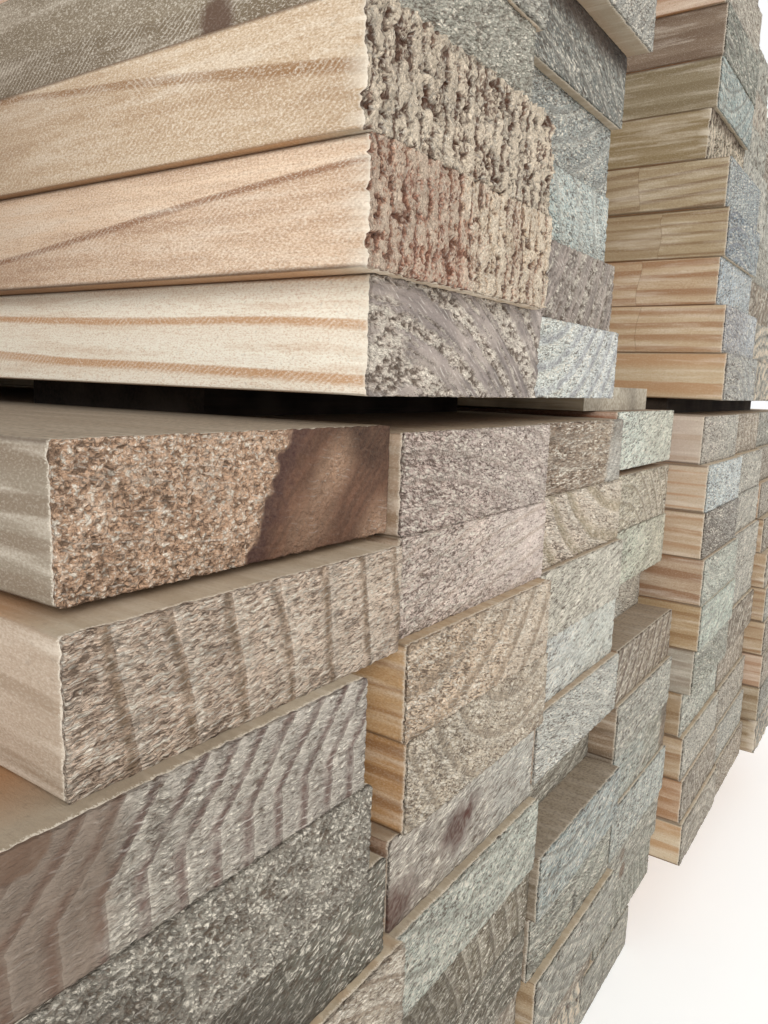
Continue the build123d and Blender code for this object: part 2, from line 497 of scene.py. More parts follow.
def stain_of(x, z, look):
    """How stained a place is, from 0 to 1, with the painted shade of a few ends drawn the same
    way; a stain with a negative depth lets wood show again.
    """
    wobble = (lumps(x / 4, z / 4, look["seed"] + 12) - 0.5) * 5
    wobble += (lumps(x / 1.3, z / 1.3, look["seed"] + 13) - 0.5) * 1.6
    stain = np.zeros_like(x)
    for kind, low, high, size, depth in look["stains"]:
        if kind == "right_of":
            edge = low + (high - low) * z / HIGH_MM
            part = smooth_step(-size, size, x - edge + wobble)
        elif kind == "left_of":
            edge = low + (high - low) * z / HIGH_MM
            part = smooth_step(-size, size, edge - x + wobble)
        elif kind == "glow":
            away = np.hypot(x - low - (z - high) * 0.4, (z - high) * 0.9) + wobble * 0.4
            part = 1 - smooth_step(size * 0.1, size * 1.3, away)
        elif kind == "top":
            part = smooth_step(low, high, z + wobble * 0.5)
        elif kind == "knot":
            away = np.hypot(x - low, (z - high) * 1.25) + wobble * 1.3
            part = 1 - smooth_step(size * 0.35, size * 1.25, away)
            part = part * (0.85 + 0.15 * np.sin(away * 1.8))
        else:
            away = np.hypot(x - low, (z - high) * 1.15) + wobble * 0.4
            part = 1 - smooth_step(size * 0.8, size * 1.1, away)
        stain = np.clip(stain + part * depth, 0, 1)
    return stain


sample["stains"] = [("disc", 75, 22, 10, 1.0)]
disc_wide = int((stain_of(*line, sample) > 0.5).sum())
print("a stained disc of 20 mm measures", disc_wide, "mm across")

# %% [markdown]
# The wood's colours drift from one side of an end to the other, and the torn bundles differ
# from their neighbours. A stain is darkest along its rim and fades inwards to the paler brown
# of heartwood.

# %% Colours of the end
STAIN_RIM = 68
DARK_CORNER = (138, 48)


def end_colours(x, z, look):
    """Pale and dark wood of each point, as two lists of colours."""
    pale, dark = (np.array(look[key][:3]) for key in ("end_pale", "end_dark"))
    drift = smooth_step(25, 125, x + (lumps(x / 20, z / 14, look["seed"] + 60) - 0.5) * 60)
    pale = pale + (np.array(look["end_right"][:3]) - pale) * drift[:, None]
    dark = np.broadcast_to(dark, pale.shape)
    if look["cut"] == "ringed":
        streak = smooth_step(0.3, 0.7, along_ring(x, z, look, 1.6, 30, 70))
        dark = dark * (0.78 + 0.5 * streak[:, None])
    if look["cut"] == "torn":
        cell = torn_cells(x, z, look)[2]
        other = (cell * 7.31) % 1.0
        pale = pale * (0.86 + 0.26 * cell[:, None])
        for low, high, left, right, tint in look["tints"]:
            chosen = ((other > low) & (other < high) & (x > left) & (x < right)) * 0.42
            pale = pale + (np.array(tint[:3]) - pale) * chosen[:, None]
    alpha = np.ones((len(x), 1))
    return np.hstack([pale, alpha]), np.hstack([dark, alpha])


def stain_colours(x, z, look):
    """The stain's colour at each point, from its rim inwards."""
    rim, inner = (np.array(look[key][:3]) for key in ("end_stain", "stain_inner"))
    wobble = (lumps(x / 3, z / 3, look["seed"] + 14) - 0.5) * 9
    inward = smooth_step(2, 15, x + wobble - STAIN_RIM - z * 0.5)
    streaks = smooth_step(0.35, 0.7, lumps((x + z) / 14, (z - x) / 2.2, look["seed"] + 15))
    corner = smooth_step(12, 40, np.hypot(x - DARK_CORNER[0], (z - DARK_CORNER[1]) * 1.2))
    inside = inner * ((0.85 + 0.35 * streaks) * (0.5 + 0.5 * corner))[:, None]
    colours = rim + (inside - rim) * inward[:, None]
    return np.hstack([colours, np.ones((len(x), 1))])


sample.update(end_stain=colour("#3B2520"), stain_inner=colour("#513729"))
print("a stain's colours:", stain_colours(*line, sample).mean(axis=0).round(3))

# %% [markdown]
# Each end that can be told apart in the photograph gets its own look. A board's letter is its
# column and its number counts the rows away from the gap between the lower and the upper tier.
# A look says how the saw left the end, where the heart of the tree lay in millimetres from the
# board's lower left corner and how wide a ring is, then the colours of the end's spring wood
# and summer wood, and the same two for the side.

# %% Looks of the seen boards
# kind of end, heart across and up with ring width, end pale and dark, side pale and dark
SEEN = {
    "u1": ("ringed", (-5, -140, 18.6), "#CBBCAE", "#7D736E", "#F8F1E0", "#BF8B5A"),
    "u2": ("torn", (-420, 22, 8.3), "#E0B599", "#A98A72", "#E4C8AC", "#8A5F40"),
    "u3": ("torn", (-420, 30, 8.1), "#B19D8A", "#8F7C69", "#CFB89C", "#8E6842"),
    "u4": ("granular", (20, 90, 16), "#9F9D91", "#8A8478", "#8C7F6B", "#71624E"),
    "v1": ("granular", (20, 112, 14), "#EAEEE6", "#918F91", "#D8C9B2", "#B9966F"),
    "v2": ("ringed", (-60, 120, 17), "#978B83", "#857A72", "#C9AF92", "#A07E5C"),
    "v3": ("granular", (-125, -67, 27), "#C0CEC9", "#A5A49C", "#B59C80", "#8E7355"),
    "v4": ("granular", (0, 260, 17), "#9FA39D", "#8A877F", "#9C8B74", "#7A6850"),
    "v5": ("granular", (0, -150, 15), "#868983", "#6F6A61", "#7B6957", "#5E4F40"),
    "v6": ("granular", (10, 120, 14), "#AEACA3", "#8F8C84", "#8A7866", "#6C5B4A"),
    "w1": ("granular", (40, -90, 15), "#ACAAA3", "#98948F", "#CBB899", "#B78F68"),
    "w2": ("granular", (-90, 20, 12), "#B2B3B7", "#95918C", "#C8B293", "#A27B58"),
    "w3": ("granular", (-80, 30, 12), "#C8D4DA", "#908C87", "#C1A98A", "#99714F"),
    "w4": ("granular", (60, -120, 14), "#8D9AA2", "#87868A", "#AE9B7C", "#846A4B"),
    "w5": ("granular", (-70, 10, 12), "#AAB3B2", "#84838A", "#A99778", "#7D654A"),
    "w6": ("torn", (-300, 10, 10), "#938A70", "#7F705C", "#98876A", "#84714F"),
    "w7": ("granular", (20, 150, 16), "#ABBAB6", "#7B766C", "#8B7E65", "#78694E"),
    "w8": ("granular", (20, -80, 14), "#878C81", "#757068", "#82705F", "#6C5847"),
    "a1": ("granular", (-200, 40, 30), "#C7A285", "#A3866D", "#8E8271", "#7D6D5B"),
    "a2": ("granular", (-298, -41, 21.5), "#D0B6A0", "#75604A", "#B5A28F", "#98836E"),
    "a3": ("granular", (-200, 5, 13.2), "#9F978B", "#68524A", "#A59988", "#8D7E6C"),
    "a4": ("granular", (60, 300, 26), "#817C71", "#7B7468", "#8F8474", "#7B6E5E"),
    "a5": ("granular", (200, 160, 26), "#6D685C", "#706A5E", "#857A6A", "#6E6252"),
    "b1": ("granular", (20, -250, 13), "#CEB7AC", "#958679", "#B29A84", "#94795F"),
    "b2": ("granular", (181, -435, 12), "#E3CDC0", "#A2907F", "#BBA087", "#9B7C60"),
    "b3": ("granular", (4, 127, 21.6), "#DABFA3", "#83725F", "#C49F72", "#9E7449"),
    "b4": ("granular", (108, 91, 20), "#C8B8A2", "#8A7C6B", "#B98F60", "#91673F"),
    "b5": ("granular", (180, 60, 24), "#A89E92", "#948A7E", "#8F6B50", "#6F4E38"),
    "b6": ("granular", (90, 200, 18), "#BDC0B3", "#756D5F", "#8B7A64", "#6E5E4A"),
    "b7": ("granular", (-40, -20, 15), "#908875", "#685E50", "#7F705E", "#655645"),
    "b8": ("granular", (120, -60, 15), "#746F61", "#544E42", "#7F705E", "#655645"),
    "c1": ("granular", (60, 220, 17), "#9F8975", "#8D7F70", "#B09579", "#8D7053"),
    "c2": ("granular", (152, 152, 22), "#D9C7B4", "#96886F", "#B29C80", "#8F7658"),
    "c3": ("granular", (150, -100, 15), "#D9D2C1", "#A0978A", "#A98E72", "#86694C"),
    "c4": ("granular", (40, 160, 28), "#D3D4CD", "#A9A59A", "#A68D73", "#83694E"),
    "c5": ("granular", (-50, -300, 14), "#C8C7BE", "#9B958A", "#98745A", "#77553F"),
    "c6": ("granular", (60, 140, 12), "#A49F91", "#6F6658", "#8A7862", "#6B5A46"),
    "c7": ("granular", (60, 150, 17), "#ABB4AF", "#7D776B", "#80715E", "#665744"),
    "c8": ("granular", (40, 180, 20), "#A3A396", "#7E7A6F", "#857461", "#685846"),
    "d1": ("granular", (0, 140, 14), "#E4EADC", "#B0AFA3", "#A8765A", "#84573F"),
    "d2": ("granular", (20, -60, 14), "#D3C8B0", "#8C7F6B", "#A98B6B", "#86694A"),
    "d3": ("granular", (20, 120, 28), "#D4D6C1", "#A49A88", "#A98E72", "#86694C"),
    "d4": ("granular", (20, 120, 24), "#CAC8BF", "#999286", "#9F8469", "#7D6248"),
    "d5": ("granular", (-160, 170, 19.5), "#A99B89", "#5E4C3E", "#967B60", "#745A42"),
    "d6": ("granular", (30, 140, 20), "#B4B2A6", "#99968A", "#907A63", "#6F5B47"),
    "d7": ("granular", (20, 200, 22), "#B2B8AF", "#8A877C", "#857461", "#685846"),
    "d8": ("granular", (-60, 60, 16), "#BEC3BB", "#85827A", "#857461", "#685846"),
    "d9": ("granular", (90, -120, 18), "#ABA99C", "#7E7A6F", "#857461", "#685846"),
    "d10": ("granular", (200, 40, 17), "#9F9F92", "#7A776C", "#857461", "#685846"),
    "d11": ("granular", (60, 190, 17), "#9F9F92", "#7A776C", "#857461", "#685846"),
    "e1": ("granular", (60, 200, 18), "#C6BDB0", "#969083", "#C2B3A4", "#B09A86"),
    "e2": ("granular", (-60, 120, 18), "#D8E1DF", "#9A958A", "#C4B39D", "#B48F6E"),
    "e3": ("granular", (40, -90, 18), "#90887E", "#9A958A", "#BEA88E", "#AA8765"),
    "e4": ("granular", (90, 160, 18), "#C9CCBE", "#9B978B", "#BBA58C", "#8B6445"),
    "e5": ("granular", (20, 200, 18), "#CFD8CA", "#97948A", "#B09672", "#8E6C45"),
    "e6": ("granular", (20, -160, 18), "#A8AB9D", "#938F84", "#A59C8D", "#8E8070"),
    "e7": ("granular", (-30, 160, 18), "#CACBBE", "#8E8A7F", "#A38B6C", "#866947"),
}
print("ends with a look of their own:", len(SEEN))

# %% [markdown]
# Stains, with their colour: a stain on one side of a line has the line's place at the bottom and
# at the top, a disc has its middle, and both end with a softness and a depth. The entries for a4,
# a5 and b7 are painted shade, which darkens these ends towards their left. Some ends change their
# pale colour towards the right, and the torn ones have bundles of other tints.

# %% Stains and tints of the seen boards
STAINS_AND_SHADES = {
    "u2": ("#A9745E", [("left_of", 70, 62, 6, 0.28)]),
    "a1": ("#3B2520", [("right_of", 68, 89, 2.0, 1.0), ("glow", 115, 29, 12, -0.5),
                       ("glow", 142, 2, 14, -0.5), ("glow", 101, 10, 15, -0.25)]),
    "a3": ("#5E4A3C", [("left_of", 34, 44, 5, 0.75), ("disc", 14, 44, 9, 0.5)]),
    "b5": ("#43241A", [("knot", 60, 22, 17, 1.0), ("knot", 76, 28, 9, 0.6),
                       ("knot", 4, 8, 21, 1.0), ("knot", 90, 5, 6, 0.6)]),
    "c1": ("#C9C8C0", [("right_of", 120, 128, 5, 0.6)]),
    # painted shade, not stains: these three darken their ends towards the left
    "a4": ("#4A4035", [("left_of", 60, 10, 30, 0.65)]),
    "a5": ("#3F382F", [("left_of", 120, 60, 30, 0.7)]),
    "b7": ("#3F382F", [("left_of", 75, 40, 30, 0.4)]),
    "c8": ("#4C463E", [("disc", 78, 20, 4, 0.6), ("disc", 78, 11, 4, 0.7)]),
    "d7": ("#836A55", [("right_of", 134, 130, 4, 0.7)]),
    "d9": ("#7A5B45", [("disc", 45, 28, 7, 0.5), ("disc", 48, 13, 8, 0.6)]),
    "v5": ("#4C3B30", [("top", 26, 38, 0, 0.9)]),
    "w6": ("#5E4A3A", [("top", 30, 40, 0, 0.7)]),
    "v2": ("#7A6659", [("disc", 20, 34, 14, 0.4)]),
}
STAIN_INNER = {"a1": "#513729", "b5": "#45281C"}
END_RIGHT = {"u1": "#CABDB0", "u2": "#D9B89F", "u3": "#B3A492", "u4": "#A3A194",
             "v1": "#DEE1DD", "v2": "#AA9F93", "v3": "#CAD3CE", "v4": "#A5AAA5",
             "a2": "#E0C8B2", "a3": "#ACA398", "a4": "#8C867A", "a5": "#706D61",
             "b1": "#CBBAB0", "b2": "#CEBDB3", "b3": "#CEBCA7", "b4": "#C2B29D",
             "b5": "#B3AFA5", "b7": "#857C6A", "c1": "#AE9A84", "c2": "#D5C5B0",
             "c3": "#D3CDBD", "c4": "#CDCEC4", "c5": "#BEBDB4", "c7": "#A8B0AC",
             "d1": "#D6D6C5", "d2": "#BAAD98", "d3": "#C7C2AC", "d4": "#C3B9A8",
             "d5": "#9F8F7B", "d7": "#A6A495", "w1": "#AFB1AD", "w2": "#C5CBCF",
             "w3": "#BEC7CA", "w4": "#9AA6AA", "w5": "#9FA9AA", "w7": "#A5B3B0",
             "e1": "#C0BBAF", "e2": "#D1D8D7", "e3": "#928D85", "e4": "#C1C5B8",
             "e5": "#CAD3C5", "e6": "#A0A194", "e7": "#C1C4B7"}
TINTS = {"u2": [(0.0, 0.5, -5, 72, "#D08F7A"), (0.75, 1.0, -5, 72, "#8F6450"),
                (0.3, 1.0, 62, 160, "#F0DDBB"), (0.0, 0.15, 62, 160, "#A87F63")],
         "u3": [(0.0, 0.2, -5, 160, "#8E6550"), (0.6, 1.0, -5, 160, "#E2D6C2")]}
print("stained ends:", sorted(STAINS_AND_SHADES))

# %% [markdown]
# The sides that show in the photograph have a heart of their own too, far below the board where
# the grain is flat. With it go the part of a ring that is spring wood, and how much the heart
# drifts along the board, which makes the stripes run out of its edge. The first finger joint
# lies at a measured place, and the saw left its lines on an end at a slope. A knot has its
# place along and up the board and a radius, and one board's rings lean over round its knot.

# %% Sides and saw marks of the seen boards
SIDES = {
    "u1": ((-5, -140, 18.6), (0.7, 0.024)),
    "u2": ((-60, -90, 70.5), (0.948, -0.093)),
    "u3": ((-60, -90, 63.5), (0.925, 0.107)),
    "u4": ((-300, -100, 40), (0.8, 0.02)),
    "w1": ((-20, -60, 26), (0.45, 0.01)),
    "w2": ((10, -60, 11), (0.4, 0.008)),
    "w3": ((12, -70, 12.5), (0.45, -0.004)),
    "w4": ((-4, -90, 9.5), (0.6, 0.006)),
    "w5": ((-10, -60, 11), (0.6, -0.07)),
}
FIRST_JOINT = {"w2": 84, "w3": 77, "w4": 63, "w5": 85, "u1": 420, "u2": 510, "u3": 380}
FINEST = ("u1", "u2", "u3", "a1", "a2", "a3", "b1", "b2", "b3")
SAW_SLOPE = {"a2": -0.28, "a1": 0.15, "u1": 0.7, "b5": -0.5, "a3": 0.03, "b1": 1.6, "b2": 1.4}
KNOTS = {"u4": (60, 4, 10), "a3": (14, 46, 34), "u1": (60, 20, 0), "u2": (60, 20, 0),
         "u3": (60, 20, 0)}
KINKS = {"a3": (19, 0.95)}
print("sides with a grain of their own:", sorted(SIDES))

# %% [markdown]
# The unseen boards mix the kinds, greys and browns of the seen ones.

# %% Wood of the unseen boards
PALE_ENDS = ("#B7AE9F", "#A79C8D", "#BDBBB0", "#B3A593", "#A5A398", "#9E9282", "#C2BDB0")
DARK_ENDS = ("#8F8476", "#857A6B", "#9C998F", "#8C7B69", "#8A877C", "#776A5B", "#A39E92")
PALE_SIDES = ("#C9B395", "#B9A183", "#D6C4A8", "#BFA083", "#AE987A", "#C7AE98", "#A8967C")
DARK_SIDES = ("#A67C52", "#94704C", "#BA9064", "#A2764F", "#866A48", "#A88264", "#806747")
KINDS = ("granular", "granular", "granular", "granular", "granular", "ringed", "torn")
print("kinds of unseen end:", sorted(set(KINDS)))

# %% [markdown]
# Small differences between boards, first by kind of end and then by board: where in a ring the
# summer wood sets in, how strongly the rings show, how the crumbs are drawn out and leaning, how
# strong and how large they are, how strongly painted shade darkens a side away from its end, and
# which boards lie in the open.

# %% Small differences
BAND_STARTS = {"granular": 0.74, "ringed": 0.55, "torn": 0.6}
END_BANDS = {"a2": 0.75, "a3": 0.55, "b3": 0.62, "b4": 0.7, "d5": 0.62, "c2": 0.5, "c7": 0.8,
             "c6": 0.5, "v3": 0.8, "u1": 0.36, "v1": 0.5, "v2": 0.25}
CONTRASTS = {"a1": 0.0, "a2": 1.0, "d1": 0.6, "b5": 0.4, "a4": 0.25, "a5": 0.3, "b1": 0.75,
             "b2": 0.8, "c1": 0.8, "c3": 0.9, "c4": 0.55, "c5": 0.7, "d3": 0.6, "d4": 0.5,
             "d6": 0.6, "d7": 0.7, "u2": 0.4, "u3": 0.3, "u4": 0.5, "b6": 0.6, "e1": 0.4,
             "e2": 0.5, "e3": 0.4}
TORN_RISE = 0.6
FADING = {"b1": (1.4, 0.9), "b2": (1.35, 0.5), "b3": (1.25, 0.7), "b4": (1.2, 0.8)}
STREAKS = {"granular": 0.42, "ringed": 0.55, "torn": 1.3,
           "a1": 0.8, "a2": 0.3, "a3": 0.38, "a4": 0.75, "b5": 0.25}
FAR_COLUMNS, FAR_STREAK = "cdefghwxy", 0.24
STRENGTHS = {"granular": 1.25, "ringed": 1.0, "torn": 1.25, "a1": 1.1, "a4": 1.2, "a3": 0.9,
             "c4": 1.0, "c5": 1.1, "v1": 1.15, "a2": 1.3, "b5": 1.0}
CRUMB_SIZES = {"granular": 0.95, "ringed": 0.85, "torn": 0.8,
               "a1": 0.95, "a2": 0.62, "a3": 0.72, "a4": 1.05}
LEANS = {"a1": 0.0, "a2": -0.1, "a3": 0.0, "a4": 0.3, "b1": 0.15, "b2": -0.12, "b3": 0.22,
         "b4": 0.35, "b5": -0.2, "c4": -0.3, "c5": 0.2, "v1": -0.1, "v3": 0.2, "v4": -0.15,
         "v5": 0.35, "u1": 0.25, "d1": -0.25, "d3": -0.2, "c3": -0.2, "e2": 0.1, "e1": 0.0}
# how strongly painted shade darkens each side away from its end
SHADE_FALLOFFS = {"u1": 0.35, "u2": 0.8, "u3": 0.9, "u4": 0.9, "a1": 0.35, "a2": 0.2}
OPEN_BOARDS = ("a1", "b1", "c1", "d1", "e1", "f1", "g1", "h1", "u10", "v10", "w10", "x10", "y8")
DUSTY = {"d5": 0.95, "c7": 0.95, "b3": 0.6, "c3": 0.6}
COVERED = 0.15
print("boards in the open:", len(OPEN_BOARDS))

# %% [markdown]
# A board's name comes from its place: its column is the one whose middle, in metres from the
# middle of the stack, lies nearest, and its row follows from its layer's number.

# %% Names by place
COLUMN_MIDDLES = {
    "lower": {"a": -0.540, "b": -0.385, "c": -0.230, "d": -0.075,
              "e": 0.101, "f": 0.256, "g": 0.418, "h": 0.573},
    "upper": {"u": -0.422, "v": -0.262, "w": 0.144, "x": 0.299, "y": 0.454},
}
LAYERS_HIGH = {"lower_left": 12, "lower_right": 10}


def row_name(node, low):
    middles = COLUMN_MIDDLES[node.split("_")[0]]
    column = min(middles, key=lambda letter: abs(middles[letter] - low[0] - WIDE / 2))
    if node in BOWED:
        return column + "1"
    pack, number = node.split(LAYER_WORDS)
    row = LAYERS_HIGH[pack] + 1 - int(number) if pack in LAYERS_HIGH else int(number)
    return column + str(row)


print("first board of the first layer:", row_name(board_nodes[0], layers[board_nodes[0]][0][0]))

# %% [markdown]
# A look gathers all that is known of a board, and draws the rest at random from a fixed seed.
# Every board draws the same number of values in the same order, also where its own table
# entry is used instead, so that a new entry leaves the other boards as they were.

# %% Give every board its look
draw = np.random.default_rng(2179)
COARSE = ("a1", "a4")
BARE_OF_KNOTS = 0.45


def streak_for(name, cut):
    """How drawn out the crumbs are: far boards are seen at a slant, so theirs are longer."""
    far = FAR_STREAK if name[0] in FAR_COLUMNS and cut == "granular" else STREAKS[cut]
    return STREAKS.get(name, far)


def look_for(name):
    tone = int(draw.integers(len(PALE_ENDS)))
    side_tone = int(draw.integers(len(PALE_SIDES)))
    angle, reach = draw.uniform(0, 2 * math.pi), draw.uniform(50, 220)
    heart = (WIDE_MM / 2 + reach * math.cos(angle), HIGH_MM / 2 + reach * math.sin(angle),
             draw.uniform(10, 21))
    kind = KINDS[int(draw.integers(len(KINDS)))]
    drawn = (kind, heart, PALE_ENDS[tone], DARK_ENDS[tone],
             PALE_SIDES[side_tone], DARK_SIDES[side_tone])
    cut, heart, end_pale, end_dark, side_pale, side_dark = SEEN.get(name, drawn)
    stain, stains = STAINS_AND_SHADES.get(name, ("#6B5142", []))
    side_angle = draw.uniform(-2.2, -0.8)
    side_reach = draw.uniform(50, 160)
    side_heart = (side_reach * math.cos(side_angle), side_reach * math.sin(side_angle),
                  draw.uniform(9, 22))
    side_heart, drift = SIDES.get(name, (side_heart, (draw.uniform(0.35, 0.8),
                                                      draw.uniform(-0.03, 0.03))))
    rough = {"torn": draw.uniform(0.55, 0.75), "granular": draw.uniform(0.35, 0.6)}
    look = {
        "cut": cut, "heart": heart, "side_heart": side_heart, "drift": drift[1],
        "side_band": drift[0], "end_band": END_BANDS.get(name, BAND_STARTS[cut]),
        "contrast": CONTRASTS.get(name, 1.0), "streak": streak_for(name, cut),
        "strength": STRENGTHS.get(name, STRENGTHS[cut]), "broken": 1.5 if name == "u3" else 0.8,
        "fading": FADING.get(name, (1.15, 0.9)), "rise": TORN_RISE if cut == "torn" else 1.0,
        "crumb_size": CRUMB_SIZES.get(name, CRUMB_SIZES[cut]),
        "shade_falloff": SHADE_FALLOFFS.get(name, 0.1),
        "seed": round(draw.uniform(1, 90), 2), "grit": draw.uniform(1.1, 1.5),
        "rough": rough.get(cut, 1.0), "stains": stains,
        "first_joint": FIRST_JOINT.get(name, draw.uniform(90, 700)),
        "joint_pitch": draw.uniform(330, 620), "saw": SAW_SLOPE.get(name, draw.uniform(-0.9, 0.9)),
        "knot": (draw.uniform(120, 2300), draw.uniform(6, 38), draw.uniform(4, 13)),
        "end_pale": colour(end_pale), "end_dark": colour(end_dark), "end_stain": colour(stain),
        "end_right": colour(END_RIGHT.get(name, end_pale)), "name": name,
        "stain_inner": colour(STAIN_INNER.get(name, stain)),
        "tints": [(*reach, colour(tint)) for *reach, tint in TINTS.get(name, ())],
        "side_pale": colour(side_pale), "side_dark": colour(side_dark),
        "open_air": 1.0 if name in OPEN_BOARDS else DUSTY.get(name, COVERED),
    }
    look["band_full"] = look["end_band"] + (0.1 if cut == "ringed" else 0.16)
    look["lean"] = LEANS.get(name, look["saw"] * 0.3)
    if name in COARSE:
        look["grit"], look["rough"] = 1.4, 0.7
    if draw.random() < BARE_OF_KNOTS:
        look["knot"] = (look["knot"][0], look["knot"][1], 0.0)
    return look


print("seeded looks ready")

# %% [markdown]
# A sawn board's four long corners are slightly rounded. Marks are written to a mesh all at
# once, as one long row of numbers.

# %% Rounded corners and marks


def rounded(places):
    """Pulls the points near the four long corners onto a small rounding."""
    middle = np.clip(places[:, [0, 2]], CORNER_ROUND, (WIDE - CORNER_ROUND, HIGH - CORNER_ROUND))
    away = places[:, [0, 2]] - middle
    far = np.hypot(away[:, 0], away[:, 1])
    scale = np.where(far > CORNER_ROUND, CORNER_ROUND / np.maximum(far, 1e-9), 1.0)
    places[:, 0] = middle[:, 0] + away[:, 0] * scale
    places[:, 2] = middle[:, 1] + away[:, 1] * scale
    return places


def write(mesh, attribute, values):
    kind = "color" if mesh.attributes[attribute].data_type == "FLOAT_COLOR" else "vector"
    values = np.broadcast_to(np.asarray(values, dtype=np.float32),
                             (len(mesh.vertices), 4 if kind == "color" else 3))
    mesh.attributes[attribute].data.foreach_set(kind, np.ascontiguousarray(values).ravel())


print("corners rounded by", CORNER_ROUND / MM, "mm")

# %% [markdown]
# All that the materials need is written into the marks. The end's relief and stains stop 14 mm
# behind the end. The grain's place is bent a little by slow noise, since no ring is a true
# circle, and in one board it leans round a knot. Clean cut, stained heartwood holds together
# better under the saw, so there the crumbs are small.

# %% Mark the points of a board
END_REACH = 14
BEND_REACH = 100
FACE_CUT_WELL = ("a1", "a3", "b5")
SAWN_SIDES = ("u1", "u2", "u3", "u4")
CUT_SIGN = {"torn": 1, "granular": 0, "ringed": -1}


def mark_grain(mesh, name, look, x, along, z):
    warp = (lumps(x / 26, z / 26, look["seed"] + 20) - 0.5) * 3.0 * (along < BEND_REACH)
    kink_from, kink = KINKS.get(name, (0, 0))
    leaning = kink * np.maximum(0, z - kink_from) * (along < BEND_REACH)
    write(mesh, "grain_at", np.stack([x + warp - leaning, along, z + warp], axis=1))
    crumb_at = [x * look["streak"], along + 40 * look["seed"],
                (z + look["lean"] * x) * look["rise"]]
    write(mesh, "crumb_at", np.stack(crumb_at, axis=1) / look["crumb_size"])
    write(mesh, "end_heart", look["heart"])
    write(mesh, "side_heart", look["side_heart"])
    write(mesh, "run_out", (look["shade_falloff"], look["drift"], look["seed"]))
    painted = 0.0 if look["cut"] == "ringed" else look["contrast"]
    write(mesh, "bands", (look["end_band"], look["side_band"], painted))
    write(mesh, "joints", (look["first_joint"], look["joint_pitch"], look["saw"]))
    write(mesh, "side_knot", KNOTS.get(name, look["knot"]))


def mark_cut(mesh, name, look, x, sawn_clean):
    first, last = look["fading"]
    strength = look["strength"] * sawn_clean * (first + (last - first) * smooth_step(10, 140, x))
    saw_depth = 1.0 if name in SAWN_SIDES else 0.3
    write(mesh, "end_cut", np.stack([strength, 0 * x + saw_depth,
                                     0 * x + CUT_SIGN[look["cut"]]], axis=1))


def mark_colours(mesh, look, x, z):
    end_pale, end_dark = end_colours(x, z, look)
    write(mesh, "end_pale", end_pale)
    write(mesh, "end_dark", end_dark)
    write(mesh, "end_stain", stain_colours(x, z, look))
    write(mesh, "side_pale", (*look["side_pale"][:3], look["open_air"]))
    write(mesh, "side_dark", look["side_dark"])


print("relief and stains are marked up to", END_REACH, "mm behind an end")

# %% [markdown]
# Now each board is a copy of a template with its own mesh: its near end roughened, its rim made
# ragged, its length fitted, and moved to its place. The roughness fades out within 12 mm of the
# end. A board that curls up is lifted along an arc that ends 620 mm behind its end.

# %% Dress one board
FADE_MM = 12
BOW_REACH = 0.62
RAGGED = {"torn": 0.0007, "granular": 0.00035, "ringed": 0.0004}


def dress(board_name, low, high, look, level, lift=0.0):
    board = fineness[level].copy()
    board.data = board.data.copy()
    board.name = "board_" + board_name
    bpy.context.collection.objects.link(board)
    mesh = board.data
    places = np.empty(len(mesh.vertices) * 3, dtype=np.float32)
    mesh.vertices.foreach_get("co", places)
    places = places.reshape(-1, 3).astype(float)
    x, along, z = places[:, 0] / MM, places[:, 1] / MM, places[:, 2] / MM
    fade = np.clip(1 - along / FADE_MM, 0, 1)
    height, relief, smooth = relief_of(x, z, look)
    stain = stain_of(x, z, look)
    sawn_clean = 1 - 0.85 * stain * (board_name in FACE_CUT_WELL)
    relief = np.where(along < END_REACH, relief * sawn_clean * fade, 0)
    write(mesh, "marks", np.stack([relief, stain * (along < END_REACH), smooth], axis=1))
    mark_grain(mesh, board_name, look, x, along, z)
    mark_cut(mesh, board_name, look, x, sawn_clean)
    mark_colours(mesh, look, x, z)
    places = rounded(places)
    rim = fade * RAGGED[look["cut"]] * 2
    places[:, 0] += (lumps(z / 1.9, along / 2.5, look["seed"] + 30) - 0.5) * rim
    places[:, 2] += (lumps(x / 1.9, along / 2.5, look["seed"] + 31) - 0.5) * rim
    places[:, 1] -= height * sawn_clean * MM * fade
    stretch = (high[1] - low[1]) / LENGTH
    places[:, 1] = np.where(along > BEND_REACH, places[:, 1] * stretch, places[:, 1])
    places += low
    places[:, 2] += lift * np.clip(1 - along * MM / BOW_REACH, 0, 1) ** 2
    mesh.vertices.foreach_set("co", places.astype(np.float32).ravel())
    mesh.update()
    return board


print("relief fades out within", FADE_MM, "mm of an end")

# %% [markdown]
# The end of a board is sawn end grain of radiata pine, left rough. It gives the eye a matt, mealy
# face without shine: spring wood torn into pale crumbs with painted highlights and brown painted
# shade in the pits, summer wood in smoother, darker bands, and faint saw lines across it. All its
# patterns are worked out from the marks, which are in millimetres, so they agree with the relief.
# In the cells below, m is the material in work.

